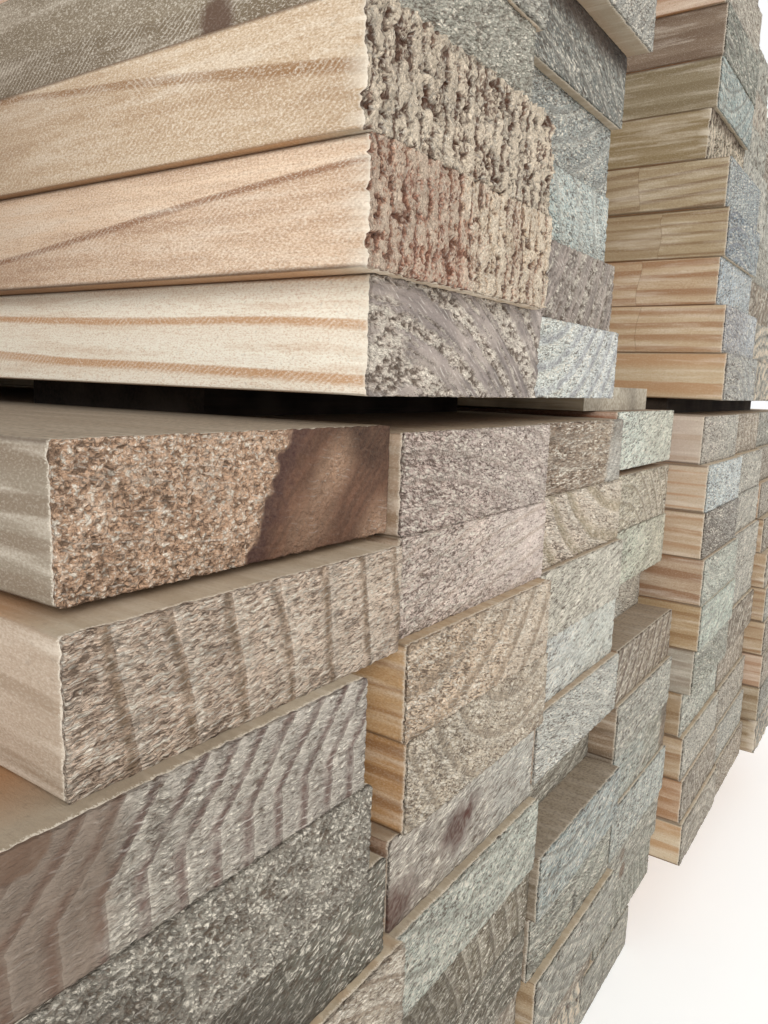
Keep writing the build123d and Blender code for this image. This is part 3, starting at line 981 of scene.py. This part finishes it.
# %% Read the marks of an end
# The pit brown is painted shade in pits and also the colour of ring and saw lines; the cream is
# raw wood and a painted highlight; the hollow brown is painted shade; the bundle cream is a
# painted highlight on torn bundles.
PIT_SHADE_AND_LINE_BROWN, CREAM_AND_HIGHLIGHT, HOLLOW_SHADE_BROWN = colour("#584739"), colour("#EDE3D2"), colour("#5E3C2A")
SAW_CREAM, BUNDLE_HIGHLIGHT_CREAM = colour("#F0E8DC"), colour("#F2E0C8")
end_grain, end_shader = new_material("radiata_pine_rough_sawn_end_grain", 0.85, 0.25)
m = end_grain
vector = {name: add(m, "Attribute", attribute_name=name).outputs["Vector"]
          for name in ("grain_at", "crumb_at", "end_heart", "marks", "joints", "bands", "end_cut")}
part = {name: add(m, "SeparateXYZ", place).outputs for name, place in vector.items()
        if name != "crumb_at"}
along, heart, bands = part["grain_at"], part["end_heart"], part["bands"]
relief, stain, smooth = part["marks"]
strength, _, torn = part["end_cut"]
saw = part["joints"][2]
end_pale, end_dark, end_stain = (add(m, "Attribute", attribute_name=name)
                                 for name in ("end_pale", "end_dark", "end_stain"))
print("marks that an end reads:", len(vector) + 3)

# %% [markdown]
# Every pattern of the end is a noise whose scale says how many lumps fit in a millimetre: the
# rings waver every 3 mm, a band of summer wood breaks up every 6 mm, and the tone drifts over
# 20 mm. Crumbs are 1.3 mm high with grit of 1.1 mm on them, in clumps of 5 mm, and the marks
# draw them out sideways. Real fibres are 0.04 mm wide, too fine to show, so the smallest that
# is drawn is this grit.

# %% Patterns of an end
jitter = add(m, "TexNoise", Vector=vector["grain_at"], Scale=0.35, Detail=2.0)
broken = add(m, "TexNoise", Vector=vector["grain_at"], Scale=0.16, Detail=2.0, Roughness=0.65)
patch = add(m, "TexNoise", Vector=vector["grain_at"], Scale=0.05, Detail=2.0)
bender = add(m, "TexNoise", Vector=vector["crumb_at"], Scale=0.6, Detail=2.0)
bent = add(m, "VectorMath", bender.outputs["Color"], 1.9, operation="SCALE")
crumb_place = add(m, "VectorMath", vector["crumb_at"], bent, operation="ADD")
crumb = add(m, "TexVoronoi", Vector=crumb_place, Scale=0.75).outputs
grit = add(m, "TexNoise", Vector=crumb_place, Scale=0.9, Detail=3.0, Roughness=0.7)
clump = add(m, "TexNoise", Vector=crumb_place, Scale=0.2, Detail=2.0)
print("end grain nodes so far:", len(m.node_tree.nodes))

# %% [markdown]
# The rings: the distance to the heart, divided by the ring's width. Its fraction is how far
# through the year the wood is. Summer wood sets in behind the start of its band and ends at a
# sharp edge, which the saw frays a little, and a thin dark line and a pale start follow it.

# %% Rings of an end
across_x = add(m, "Math", along[0], heart[0], operation="SUBTRACT")
across_z = add(m, "Math", along[2], heart[1], operation="SUBTRACT")
squares = add(m, "Math", add(m, "Math", across_x, across_x, operation="MULTIPLY"),
              add(m, "Math", across_z, across_z, operation="MULTIPLY"), operation="ADD")
away = add(m, "Math", add(m, "Math", squares, operation="SQRT"),
           add(m, "MapRange", jitter, 0, 1, -0.7, 0.7), operation="ADD")
phase = add(m, "Math", add(m, "Math", away, heart[2], operation="DIVIDE"), operation="FRACT")
behind = add(m, "Math", add(m, "Math", 1.0, phase, operation="SUBTRACT"), heart[2],
             operation="MULTIPLY")
band_wide = add(m, "Math", add(m, "Math", 1.0, bands[0], operation="SUBTRACT"), heart[2],
                operation="MULTIPLY")
late = add(m, "MapRange", add(m, "Math", behind, band_wide, operation="DIVIDE"), 1, 0.5, 0, 1)
late = add(m, "Math", add(m, "Math", late, bands[2], operation="MULTIPLY"), 0.85,
           operation="MULTIPLY")
late = add(m, "Math", late, add(m, "MapRange", broken, 0.36, 0.54, 0.3, 1.0),
           operation="MULTIPLY")
late = add(m, "Math", late, add(m, "MapRange", behind, 0, 1.5, 0.3, 1), operation="MULTIPLY")
ring_line = add(m, "Math", add(m, "MapRange", behind, 1.1, 0.4, 0, 0.1), bands[2],
                operation="MULTIPLY")
early = add(m, "Math", add(m, "MapRange", phase, 0.02, 0.3, 0.22, 0), bands[2],
            operation="MULTIPLY")
print("end grain nodes with rings:", len(m.node_tree.nodes))

# %% [markdown]
# Crumbs: each has a rounded top and a height of its own, with grit on it. What stands out is
# painted cream as a highlight, and what lies deep is painted brown as the shade of a pit. Smooth
# summer wood has few crumbs, and each board has its own strength.

# %% Crumbs and pits, painted with highlight and shade
chance = add(m, "SeparateXYZ", crumb["Color"]).outputs[0]
dome = add(m, "MapRange", crumb["Distance"], 0.15, 0.75, 1, -1)
crumb_highlight_and_shade = add(m, "Math", add(m, "Math", dome, 0.45, operation="MULTIPLY"),
             add(m, "MapRange", chance, 0, 1, -0.7, 0.6), operation="ADD")
crumb_highlight_and_shade = add(m, "Math", crumb_highlight_and_shade, add(m, "MapRange", grit, 0.3, 0.7, -1.0, 1.0), operation="ADD")
crumb_highlight_and_shade = add(m, "Math", crumb_highlight_and_shade, add(m, "MapRange", clump, 0.3, 0.7, -0.22, 0.22), operation="ADD")
rough_here = add(m, "Math", 1.0, add(m, "Math", smooth, 0.8, operation="MULTIPLY"),
                 operation="SUBTRACT")
rough_here = add(m, "Math", rough_here, strength, operation="MULTIPLY")
crumb_highlight_and_shade = add(m, "Math", crumb_highlight_and_shade, rough_here, operation="MULTIPLY")
# painted highlight on crumbs that stand out, painted shade in the pits
wood = add(m, "Mix", add(m, "MapRange", crumb_highlight_and_shade, 0.25, 0.95, 0, 0.85), end_pale, CREAM_AND_HIGHLIGHT,
           data_type="RGBA")
wood = add(m, "Mix", add(m, "MapRange", crumb_highlight_and_shade, -0.45, -1.15, 0, 0.78), wood, PIT_SHADE_AND_LINE_BROWN,
           data_type="RGBA")
print("end grain nodes with crumbs:", len(m.node_tree.nodes))

# %% [markdown]
# The relief mark says where a point stands in the torn wood. Crests get a pale painted highlight,
# and hollows a brown painted shade, warmer and deeper in torn ends. Then the rings are laid over
# the crumbs, and where a ringed end is smooth, the summer wood's own colour shows in full.

# %% Torn relief and rings
# painted highlight on crests, painted shade in hollows
painted_highlight = add(m, "Math", relief, add(m, "MapRange", torn, 0, 1, 0.55, 0.85), operation="MULTIPLY")
wood = add(m, "Mix", painted_highlight, wood, add(m, "Mix", torn, CREAM_AND_HIGHLIGHT, BUNDLE_HIGHLIGHT_CREAM, data_type="RGBA"),
           data_type="RGBA")
painted_hollow_shade = add(m, "Mix", torn, PIT_SHADE_AND_LINE_BROWN, HOLLOW_SHADE_BROWN, data_type="RGBA")
wood = add(m, "Mix", add(m, "Math", relief, -0.8, operation="MULTIPLY"), wood, painted_hollow_shade,
           data_type="RGBA")
wood = add(m, "Mix", early, wood, CREAM_AND_HIGHLIGHT, data_type="RGBA")
wood = add(m, "Mix", late, wood, end_dark, data_type="RGBA")
wood = add(m, "Mix", ring_line, wood, PIT_SHADE_AND_LINE_BROWN, data_type="RGBA")
ringed = add(m, "Math", torn, -1.0, operation="MULTIPLY")
band_tone = add(m, "Math", add(m, "MapRange", patch, 0.42, 0.62, 0.95, 0.7), ringed,
                operation="MULTIPLY")
wood = add(m, "Mix", add(m, "Math", smooth, band_tone, operation="MULTIPLY"), wood, end_dark,
           data_type="RGBA")
print("end grain nodes with relief:", len(m.node_tree.nodes))

# %% [markdown]
# The saw left faint lines about 3 mm apart, a pale one and a dark one for each tooth mark, and
# only where the wood is dense enough to hold them. They slope as the board was held. Stains lie
# over all of it, a little broken by the grit, and slow clouds vary the tone.

# %% Saw lines, stains and clouds
across_saw = add(m, "Math", along[2], add(m, "Math", along[0], saw, operation="MULTIPLY"),
                 operation="ADD")
saw_wave = add(m, "Math",
               add(m, "Math", add(m, "Math", across_saw, 2.2, operation="MULTIPLY"),
                   add(m, "Math", patch, 9.0, operation="MULTIPLY"), operation="ADD"),
               operation="SINE")
saw_part = add(m, "MapRange", broken, 0.5, 0.62, 0, 0.42)
saw_pale = add(m, "Math", add(m, "MapRange", saw_wave, 0.7, 1, 0, 1), saw_part,
               operation="MULTIPLY")
saw_dark = add(m, "Math", add(m, "MapRange", saw_wave, -0.75, -1, 0, 0.8), saw_part,
               operation="MULTIPLY")
wood = add(m, "Mix", saw_pale, wood, SAW_CREAM, data_type="RGBA")
wood = add(m, "Mix", saw_dark, wood, PIT_SHADE_AND_LINE_BROWN, data_type="RGBA")
blot = add(m, "MapRange", grit, 0.35, 0.65, 0.92, 1.0)
wood = add(m, "Mix", add(m, "Math", stain, blot, operation="MULTIPLY"), wood, end_stain,
           data_type="RGBA")
cloud = add(m, "MapRange", patch, 0.3, 0.7, 0.9, 1.14)
grey_cloud = add(m, "CombineColor", cloud, cloud, cloud)
wood = add(m, "Mix", 1.0, wood, grey_cloud, data_type="RGBA", blend_type="MULTIPLY")
put(m, end_shader.inputs["Base Color"], wood)
print("end grain nodes with saw lines:", len(m.node_tree.nodes))

# %% [markdown]
# The mesh carries the larger tears, and a bump of the crumbs and grit adds those too small for
# its grid, as if they were up to 1.6 mm deep.

# %% Bump of an end
lumpy = add(m, "Math", add(m, "Math", dome, 0.5, operation="MULTIPLY"),
            add(m, "Math", chance, grit, operation="ADD"), operation="ADD")
bump = add(m, "Bump", Strength=1.0, Distance=0.0016,
           Height=add(m, "Math", lumpy, rough_here, operation="MULTIPLY"))
put(m, end_shader.inputs["Normal"], bump)
print("end grain nodes:", len(m.node_tree.nodes))

# %% [markdown]
# The long faces are the same pine, planed once and then weathered: a smoother wood with a soft
# sheen, striped along the board where the rings run out of the face, and dull where dust lies.
# The same marks in millimetres steer it.

# %% Read the marks of a side
DUST, OLD_DIRT, DUST_BLOT, DUST_FLECK = (colour(text) for text in (
    "#958876", "#6F6152", "#5B5145", "#655A4D"))
FUZZ_CREAM, PALE_STREAK, KNOT_BROWN = colour("#FBF3E4"), colour("#F4EADA"), colour("#5A4336")
# The seam brown is painted shade where two boards meet.
GLUE_LINE, OTHER_LENGTH, SEAM_SHADE_BROWN = colour("#6E5138"), colour("#8D7558"), colour("#4A3524")
# The warm tan of covered strips is painted warm shade, and the last tint is painted shade that
# darkens a side away from its end.
COVERED_GREY, WARM_SHADE_TAN, FALLOFF_SHADE_TINT = colour("#B3A48C"), colour("#B98452"), colour("#B4A89C")
side_wood, side_shader = new_material("radiata_pine_finger_jointed_planed_side", 0.72, 0.3)
m = side_wood
vector = {name: add(m, "Attribute", attribute_name=name).outputs["Vector"]
          for name in ("grain_at", "side_heart", "run_out", "bands", "joints", "marks", "end_cut",
                       "side_knot")}
part = {name: add(m, "SeparateXYZ", place).outputs for name, place in vector.items()}
at, along, heart, bands = vector["grain_at"], part["grain_at"], part["side_heart"], part["bands"]
shade_falloff, drift, seed = part["run_out"]
first_joint, joint_pitch, _ = part["joints"]
relief = part["marks"][0]
saw_depth = part["end_cut"][1]
knot = part["side_knot"]
side_pale, side_dark = (add(m, "Attribute", attribute_name=name)
                        for name in ("side_pale", "side_dark"))
print("marks that a side reads:", len(vector) + 2)

# %% [markdown]
# A board is glued together from shorter lengths with finger joints: a zigzag of fingers that
# are 4.8 mm apart and 8.6 mm long. Counting the joints passed gives each length a number, and
# the number draws at random where its heart lies and how dark it is. The first length keeps
# the board's own heart.

# %% Finger joints
HALF_FINGER, FINGER_SLOPE = 2.4, 3.6
finger = add(m, "Math", along[0], HALF_FINGER, operation="PINGPONG")
jointed = add(m, "Math", along[1], add(m, "Math", finger, FINGER_SLOPE, operation="MULTIPLY"),
              operation="ADD")
lengths = add(m, "Math", add(m, "Math", jointed, first_joint, operation="SUBTRACT"), joint_pitch,
              operation="DIVIDE")
number = add(m, "Math",
             add(m, "Math", add(m, "Math", lengths, operation="FLOOR"), 1.0, operation="ADD"),
             0.0, operation="MAXIMUM")
key = add(m, "CombineXYZ", number, seed, 0.0)
chance = add(m, "TexWhiteNoise", Vector=key)
chances = add(m, "SeparateXYZ", chance.outputs["Color"]).outputs
moved = add(m, "Math", number, 1.0, operation="MINIMUM")
shift_x = add(m, "Math", moved, add(m, "MapRange", chances[0], 0, 1, -40, 40),
              operation="MULTIPLY")
shift_z = add(m, "Math", moved, add(m, "MapRange", chances[1], 0, 1, -30, 30),
              operation="MULTIPLY")
print("side nodes with joints:", len(m.node_tree.nodes))

# %% [markdown]
# The rings again, now along the board: the heart drifts from end to end, slow noise bends the
# stripes, and each ring has a band of its own width. A faint halo leads up to the band.

# %% Rings along a side
slow_at = add(m, "VectorMath", at, (0.02, 0.0035, 0.02), operation="MULTIPLY")
slow = add(m, "TexNoise", noise_dimensions="4D", Vector=slow_at, W=seed, Scale=1.0, Detail=2.0)
across_x = add(m, "Math", add(m, "Math", along[0], shift_x, operation="ADD"), heart[0],
               operation="SUBTRACT")
run_z = add(m, "Math", heart[1], add(m, "Math", along[1], drift, operation="MULTIPLY"),
            operation="ADD")
across_z = add(m, "Math", add(m, "Math", along[2], shift_z, operation="ADD"), run_z,
               operation="SUBTRACT")
squares = add(m, "Math", add(m, "Math", across_x, across_x, operation="MULTIPLY"),
              add(m, "Math", across_z, across_z, operation="MULTIPLY"), operation="ADD")
away = add(m, "Math", add(m, "Math", squares, operation="SQRT"),
           add(m, "MapRange", slow, 0, 1, -5, 5), operation="ADD")
rings = add(m, "Math", away, heart[2], operation="DIVIDE")
phase = add(m, "Math", rings, operation="FRACT")
ring_key = add(m, "CombineXYZ", add(m, "Math", rings, operation="FLOOR"), seed, number)
ring_chance = add(m, "TexWhiteNoise", Vector=ring_key).outputs["Value"]
behind = add(m, "Math", add(m, "Math", 1.0, phase, operation="SUBTRACT"), heart[2],
             operation="MULTIPLY")
band_wide = add(m, "Math", add(m, "Math", 1.0, bands[1], operation="SUBTRACT"), heart[2],
                operation="MULTIPLY")
band_wide = add(m, "Math", band_wide, add(m, "MapRange", ring_chance, 0, 1, 0.75, 1.25),
                operation="MULTIPLY")
late = add(m, "MapRange", add(m, "Math", behind, band_wide, operation="DIVIDE"), 1, 0.6, 0, 1)
late = add(m, "Math", late, add(m, "MapRange", behind, 0.7, 0.1, 1, 0.4), operation="MULTIPLY")
halo = add(m, "Math", add(m, "MapRange", phase, 0.35, 0.95, 0, 0.3),
           add(m, "MapRange", phase, 0.95, 1.0, 1, 0), operation="MULTIPLY")
late = add(m, "Math", late, halo, operation="MAXIMUM")
print("side nodes with rings:", len(m.node_tree.nodes))

# %% [markdown]
# Fibres: noise drawn out along the board. The drawn streaks are 6 mm wide and 80 mm long, the
# fine ones under 1 mm wide and 9 mm long, drawn as coarse as they need to be to show. The saw's
# fuzz of loose fibre is 0.6 mm, dirt specks are 2 mm and slow patches 22 mm.

# %% Fibres and fuzz
drawn_at = add(m, "VectorMath", at, (0.16, 0.012, 0.16), operation="MULTIPLY")
drawn = add(m, "TexNoise", noise_dimensions="4D", Vector=drawn_at, W=seed, Scale=1.0, Detail=3.0,
            Roughness=0.6)
fine_at = add(m, "VectorMath", at, (1.3, 0.11, 1.3), operation="MULTIPLY")
fine = add(m, "TexNoise", Vector=fine_at, Scale=1.0, Detail=3.0, Roughness=0.6)
fuzz_at = add(m, "VectorMath", at, (1.7, 0.8, 1.7), operation="MULTIPLY")
fuzz = add(m, "TexNoise", Vector=fuzz_at, Scale=1.0, Detail=3.0, Roughness=0.65)
speck_at = add(m, "VectorMath", at, (0.5, 0.5, 0.5), operation="MULTIPLY")
speck = add(m, "TexNoise", Vector=speck_at, Scale=1.0, Detail=3.0)
broad = add(m, "TexNoise", noise_dimensions="4D", Vector=at, W=seed, Scale=0.045, Detail=2.0)
wood = add(m, "Mix", add(m, "Math", late, 0.82, operation="MULTIPLY"), side_pale, side_dark,
           data_type="RGBA")
wood = add(m, "Mix", add(m, "MapRange", drawn, 0.5, 0.68, 0, 0.34), wood, side_dark,
           data_type="RGBA")
wood = add(m, "Mix", add(m, "MapRange", drawn, 0.5, 0.34, 0, 0.34), wood, PALE_STREAK,
           data_type="RGBA")
wood = add(m, "Mix", add(m, "MapRange", fine, 0.48, 0.75, 0, 0.3), wood, side_dark,
           data_type="RGBA")
woolly = add(m, "Math", add(m, "MapRange", fuzz, 0.51, 0.65, 0, 0.45), saw_depth,
             operation="MULTIPLY")
wood = add(m, "Mix", woolly, wood, FUZZ_CREAM, data_type="RGBA")
wood = add(m, "Mix", add(m, "MapRange", fuzz, 0.49, 0.34, 0, 0.42), wood, side_dark,
           data_type="RGBA")
print("side nodes with fibres:", len(m.node_tree.nodes))

# %% [markdown]
# The saw crossed a side at a slant, one way in some places and the other way in others, and
# left marks about 2 mm apart, clearest in the dense summer wood. Each set of marks is a sine of
# the distance along its slant, and slow noise makes it waver and decides where it shows.

# %% Saw marks of a side
slant = add(m, "Math", along[1], 1.9, operation="MULTIPLY")
waver = add(m, "Math", add(m, "Math", broad, 16.0, operation="MULTIPLY"),
            add(m, "Math", speck, 2.0, operation="MULTIPLY"), operation="ADD")
down_at = add(m, "Math", add(m, "Math", along[2], 2.7, operation="MULTIPLY"), slant,
              operation="ADD")
down_wave = add(m, "Math", add(m, "Math", down_at, waver, operation="ADD"), operation="SINE")
up_at = add(m, "Math", add(m, "Math", along[2], 2.1, operation="MULTIPLY"), slant,
            operation="SUBTRACT")
up_wave = add(m, "Math", add(m, "Math", up_at, waver, operation="ADD"), operation="SINE")
down_part = add(m, "Math", add(m, "MapRange", broad, 0.4, 0.55, 0.1, 1), saw_depth,
                operation="MULTIPLY")
up_part = add(m, "Math", add(m, "MapRange", broad, 0.4, 0.3, 0, 1), saw_depth,
              operation="MULTIPLY")
saw_wave = add(m, "Math", add(m, "Math", down_wave, down_part, operation="MULTIPLY"),
               add(m, "Math", up_wave, up_part, operation="MULTIPLY"), operation="ADD")
saw_wave = add(m, "Math", saw_wave, add(m, "MapRange", late, 0, 0.7, 0.5, 1),
               operation="MULTIPLY")
wood = add(m, "Mix", add(m, "MapRange", saw_wave, 0.2, 1, 0, 0.24), wood, FUZZ_CREAM,
           data_type="RGBA")
wood = add(m, "Mix", add(m, "MapRange", saw_wave, -0.3, -1, 0, 0.24), wood, side_dark,
           data_type="RGBA")
print("side nodes with saw marks:", len(m.node_tree.nodes))

# %% [markdown]
# A knot is a ball of brown round a point of the board, a little ragged. A joint is a thin dark
# glue line, drawn 0.5 mm to each side so that it shows, and each length has its own tone.

# %% Knots and glue lines
knot_x = add(m, "Math", along[0], 0.45, operation="MULTIPLY")
knot_y = add(m, "Math", along[1], knot[0], operation="SUBTRACT")
knot_z = add(m, "Math", along[2], knot[1], operation="SUBTRACT")
flat_far = add(m, "Math", add(m, "Math", knot_y, knot_y, operation="MULTIPLY"),
               add(m, "Math", knot_z, knot_z, operation="MULTIPLY"), operation="ADD")
knot_far = add(m, "Math",
               add(m, "Math", flat_far, add(m, "Math", knot_x, knot_x, operation="MULTIPLY"),
                   operation="ADD"), operation="SQRT")
ragged_far = add(m, "Math", knot_far, add(m, "Math", speck, 3.0, operation="MULTIPLY"),
                 operation="ADD")
knot_part = add(m, "Math", ragged_far, add(m, "Math", knot[2], 0.01, operation="MAXIMUM"),
                operation="DIVIDE")
wood = add(m, "Mix", add(m, "MapRange", knot_part, 0.8, 1.25, 0.85, 0.0), wood, KNOT_BROWN,
           data_type="RGBA")
in_length = add(m, "Math", add(m, "Math", lengths, -0.5, operation="MAXIMUM"), operation="FRACT")
to_joint = add(m, "Math", in_length, add(m, "Math", 1.0, in_length, operation="SUBTRACT"),
               operation="MINIMUM")
to_joint = add(m, "Math", to_joint, joint_pitch, operation="MULTIPLY")
wood = add(m, "Mix", add(m, "MapRange", to_joint, 0.15, 0.55, 0.4, 0.0), wood, GLUE_LINE,
           data_type="RGBA")
tone = add(m, "Math", moved, add(m, "MapRange", chances[2], 0, 1, -0.25, 0.25),
           operation="MULTIPLY")
wood = add(m, "Mix", tone, wood, OTHER_LENGTH, data_type="RGBA")
print("side nodes with knots:", len(m.node_tree.nodes))

# %% [markdown]
# What faces up tells whether a board lay in the open, which its pale colour's alpha says. A strip
# facing up or down that another board covers is greyish tan at the very end and a warm tan further
# in, painted for the warm shade between the boards. The thin seam along the edge of a side is
# painted dark brown, as painted shade where two boards meet.

# %% Covered strips and seams, painted with shade
up_face = add(m, "SeparateXYZ", add(m, "NewGeometry").outputs["True Normal"]).outputs[2]
upright = add(m, "Math", up_face, operation="ABSOLUTE")
open_air = side_pale.outputs["Alpha"]
covered = add(m, "Math", add(m, "MapRange", upright, 0.5, 0.9, 0, 0.7),
              add(m, "Math", 1.0, open_air, operation="SUBTRACT"), operation="MULTIPLY")
inward = add(m, "MapRange", along[1], 8, 34, 0, 1)
# painted shade: covered strips turn warm tan further in, as the shade between boards
wood = add(m, "Mix", covered, wood,
           add(m, "Mix", inward, COVERED_GREY, WARM_SHADE_TAN, data_type="RGBA"), data_type="RGBA")
from_edge = add(m, "Math", along[2], add(m, "Math", HIGH_MM, along[2], operation="SUBTRACT"),
                operation="MINIMUM")
# painted shade: the seam between two boards is painted dark brown
seam_shade = add(m, "Math", add(m, "MapRange", from_edge, 0.3, 1.7, 0.7, 0),
           add(m, "MapRange", upright, 0.8, 0.97, 1, 0), operation="MULTIPLY")
wood = add(m, "Mix", seam_shade, wood, SEAM_SHADE_BROWN, data_type="RGBA")
print("side nodes with seams:", len(m.node_tree.nodes))

# %% [markdown]
# Dust lies on what faces up in the open, blotched and flecked. A little more of it clings near the
# end, and specks of old dirt lie anywhere. Some boards' sides are darkened by painted shade that
# sets in 90 mm behind the end and eases off past 330 mm. Last, the torn rim shows raw, cream
# coloured wood, and the crests of the front edge get a cream that is partly painted highlight.

# %% Dust, painted shade and torn rims
dusty = add(m, "Math", add(m, "MapRange", up_face, 0.5, 0.9, 0, 1),
            add(m, "MapRange", fuzz, 0.35, 0.65, 0.55, 0.95), operation="MULTIPLY")
dusty = add(m, "Math", dusty, open_air, operation="MULTIPLY")
grimy = add(m, "Mix", add(m, "MapRange", speck, 0.45, 0.68, 0, 0.75), DUST, DUST_BLOT,
            data_type="RGBA")
grimy = add(m, "Mix", add(m, "MapRange", fine, 0.5, 0.68, 0, 0.5), grimy, DUST_FLECK,
            data_type="RGBA")
wood = add(m, "Mix", dusty, wood, grimy, data_type="RGBA")
near_end = add(m, "MapRange", along[1], 0, 26, 0.2, 0.0)
wood = add(m, "Mix", add(m, "Math", near_end, speck, operation="MULTIPLY"), wood, DUST,
           data_type="RGBA")
wood = add(m, "Mix", add(m, "MapRange", speck, 0.62, 0.78, 0, 0.3), wood, OLD_DIRT,
           data_type="RGBA")
# painted shade: sides darken from 90 to 290 mm behind the end, easing off past 330 mm
far_painted_shade = add(m, "Math", add(m, "MapRange", along[1], 90, 290, 0, 1),
           add(m, "MapRange", along[1], 330, 700, 1, 0.2), operation="MULTIPLY")
wood = add(m, "Mix", add(m, "Math", far_painted_shade, shade_falloff, operation="MULTIPLY"), wood, FALLOFF_SHADE_TINT,
           data_type="RGBA", blend_type="MULTIPLY")
ragged_at = add(m, "Math", along[1], add(m, "Math", fuzz, 6.0, operation="MULTIPLY"),
                operation="ADD")
wood = add(m, "Mix", add(m, "MapRange", ragged_at, 5.4, 4.4, 0, 0.6), wood, CREAM_AND_HIGHLIGHT,
           data_type="RGBA")
# partly painted highlight: cream on the crests of the front edge
wood = add(m, "Mix", add(m, "Math", relief, 0.5, operation="MULTIPLY"), wood, CREAM_AND_HIGHLIGHT,
           data_type="RGBA")
put(m, side_shader.inputs["Base Color"], wood)
bump = add(m, "Bump", Strength=0.5, Distance=0.0005, Height=fuzz)
put(m, side_shader.inputs["Normal"], bump)
print("side nodes:", len(m.node_tree.nodes))

# %% [markdown]
# The templates get the two materials before they are copied: the near end, its first rim and
# the far end show end grain, and everything else shows the side. Only the roughened end is
# shaded smooth, so the long corners stay crisp.

# %% Faces of end grain and side
RIM_FACES = 0.0009
for board in fineness.values():
    board.data.materials.append(side_wood)
    board.data.materials.append(end_grain)
    for face in board.data.polygons:
        at_end = face.center.y < RIM_FACES or face.center.y > LENGTH - HAIR
        face.material_index = 1 if at_end else 0
        face.use_smooth = face.center.y < HAIR
    print(board.name, "end faces:", sum(face.material_index for face in board.data.polygons))

# %% [markdown]
# All boards are made and joined layer by layer, one piece for each node of the solids, so the
# stack keeps its parts' names, and each piece takes the place of its solid.


def level_for(name):
    if name in FINEST:
        return "finest"
    return "fine" if name in SEEN else "plain"


def make_layer(node, boxes):
    made = []
    for low, high in boxes:
        name = row_name(node, low)
        look = look_for(name)
        if node in BOWED:
            lift = high[2] - low[2] - HIGH
            made.append(dress(name, low, high, look, "curled" if name == "a1" else "bowed", lift))
        else:
            made.append(dress(name, low, high, look, level_for(name)))
    deselect()
    for board in made:
        board.select_set(True)
    bpy.context.view_layer.objects.active = made[0]
    if len(made) > 1:
        bpy.ops.object.join()
    layer = bpy.context.view_layer.objects.active
    layer.name = "sawn_" + node
    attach(layer, "root")
    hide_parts(node)
    return layer


pieces = [make_layer(node, boxes) for node, boxes in layers.items()]
for board in fineness.values():
    bpy.data.objects.remove(board)
triangles = sum(len(face.vertices) - 2 for piece in pieces for face in piece.data.polygons)
print("layers made:", len(pieces), "triangles:", triangles)

# %% [markdown]
# Stickers, the loose thin board in the bay and the bearers on the ground stay as they are in the
# solids and get a finish of their own: stickers painted near black, which is painted shade of the
# narrow gap between the tiers, a pale offcut of the same pine for the thin board, and damp brown
# bearers, all rough sawn and without any shine. Their grain is noise on the object's own
# coordinates in metres, drawn out along the way the piece lies: 500 lumps to the metre across it
# are fibres 2 mm wide, and 14 to the metre make them 70 mm long.

# %% Stickers, thin board and bearers


OFFCUT_DIRT = colour("#4E443A")


def dry_offcut(name, pale, dark, stretch, roughness):
    material, shader = new_material(name, roughness, 0.2)
    where = add(material, "TexCoord").outputs["Object"]
    scaled = add(material, "VectorMath", where, stretch, operation="MULTIPLY")
    grain = add(material, "TexNoise", Vector=scaled, Scale=1.0, Detail=5.0, Roughness=0.6)
    blots = add(material, "TexNoise", Vector=where, Scale=22.0, Detail=3.0)
    streaked = add(material, "MapRange", grain, 0.35, 0.65, 0, 1)
    blotted = add(material, "MapRange", blots, 0.45, 0.7, 0, 0.55)
    wood = add(material, "Mix", streaked, colour(pale), colour(dark), data_type="RGBA")
    wood = add(material, "Mix", blotted, wood, OFFCUT_DIRT, data_type="RGBA")
    bump = add(material, "Bump", Strength=0.6, Distance=0.0008, Height=grain)
    put(material, shader.inputs["Base Color"], wood)
    put(material, shader.inputs["Normal"], bump)
    return material


# The stickers' near-black colour is painted shade of the narrow gap between the tiers.
gap_shade_sticker_wood = dry_offcut("pine_offcut_painted_gap_shade", "#2A211B", "#15100D", (14, 500, 500), 0.9)
thin_wood = dry_offcut("pine_offcut_thin_pale", "#B4AC9C", "#8D8271", (500, 14, 500), 0.8)
bearer_wood = dry_offcut("pine_bearer_damp_brown", "#786A58", "#4C4034", (14, 420, 420), 0.88)
OFFCUT_WOODS = {"tier_sticker": gap_shade_sticker_wood, "bay_thin": thin_wood, "ground_bearer": bearer_wood}
offcuts = {name: thing for name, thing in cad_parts.items()
           if name.startswith(tuple(OFFCUT_WOODS))}
for name, thing in offcuts.items():
    wood = next(wood for start, wood in OFFCUT_WOODS.items() if name.startswith(start))
    if not thing.material_slots:
        thing.data.materials.append(wood)
    for place in thing.material_slots:
        place.material = wood
print("offcuts dressed:", len(offcuts))
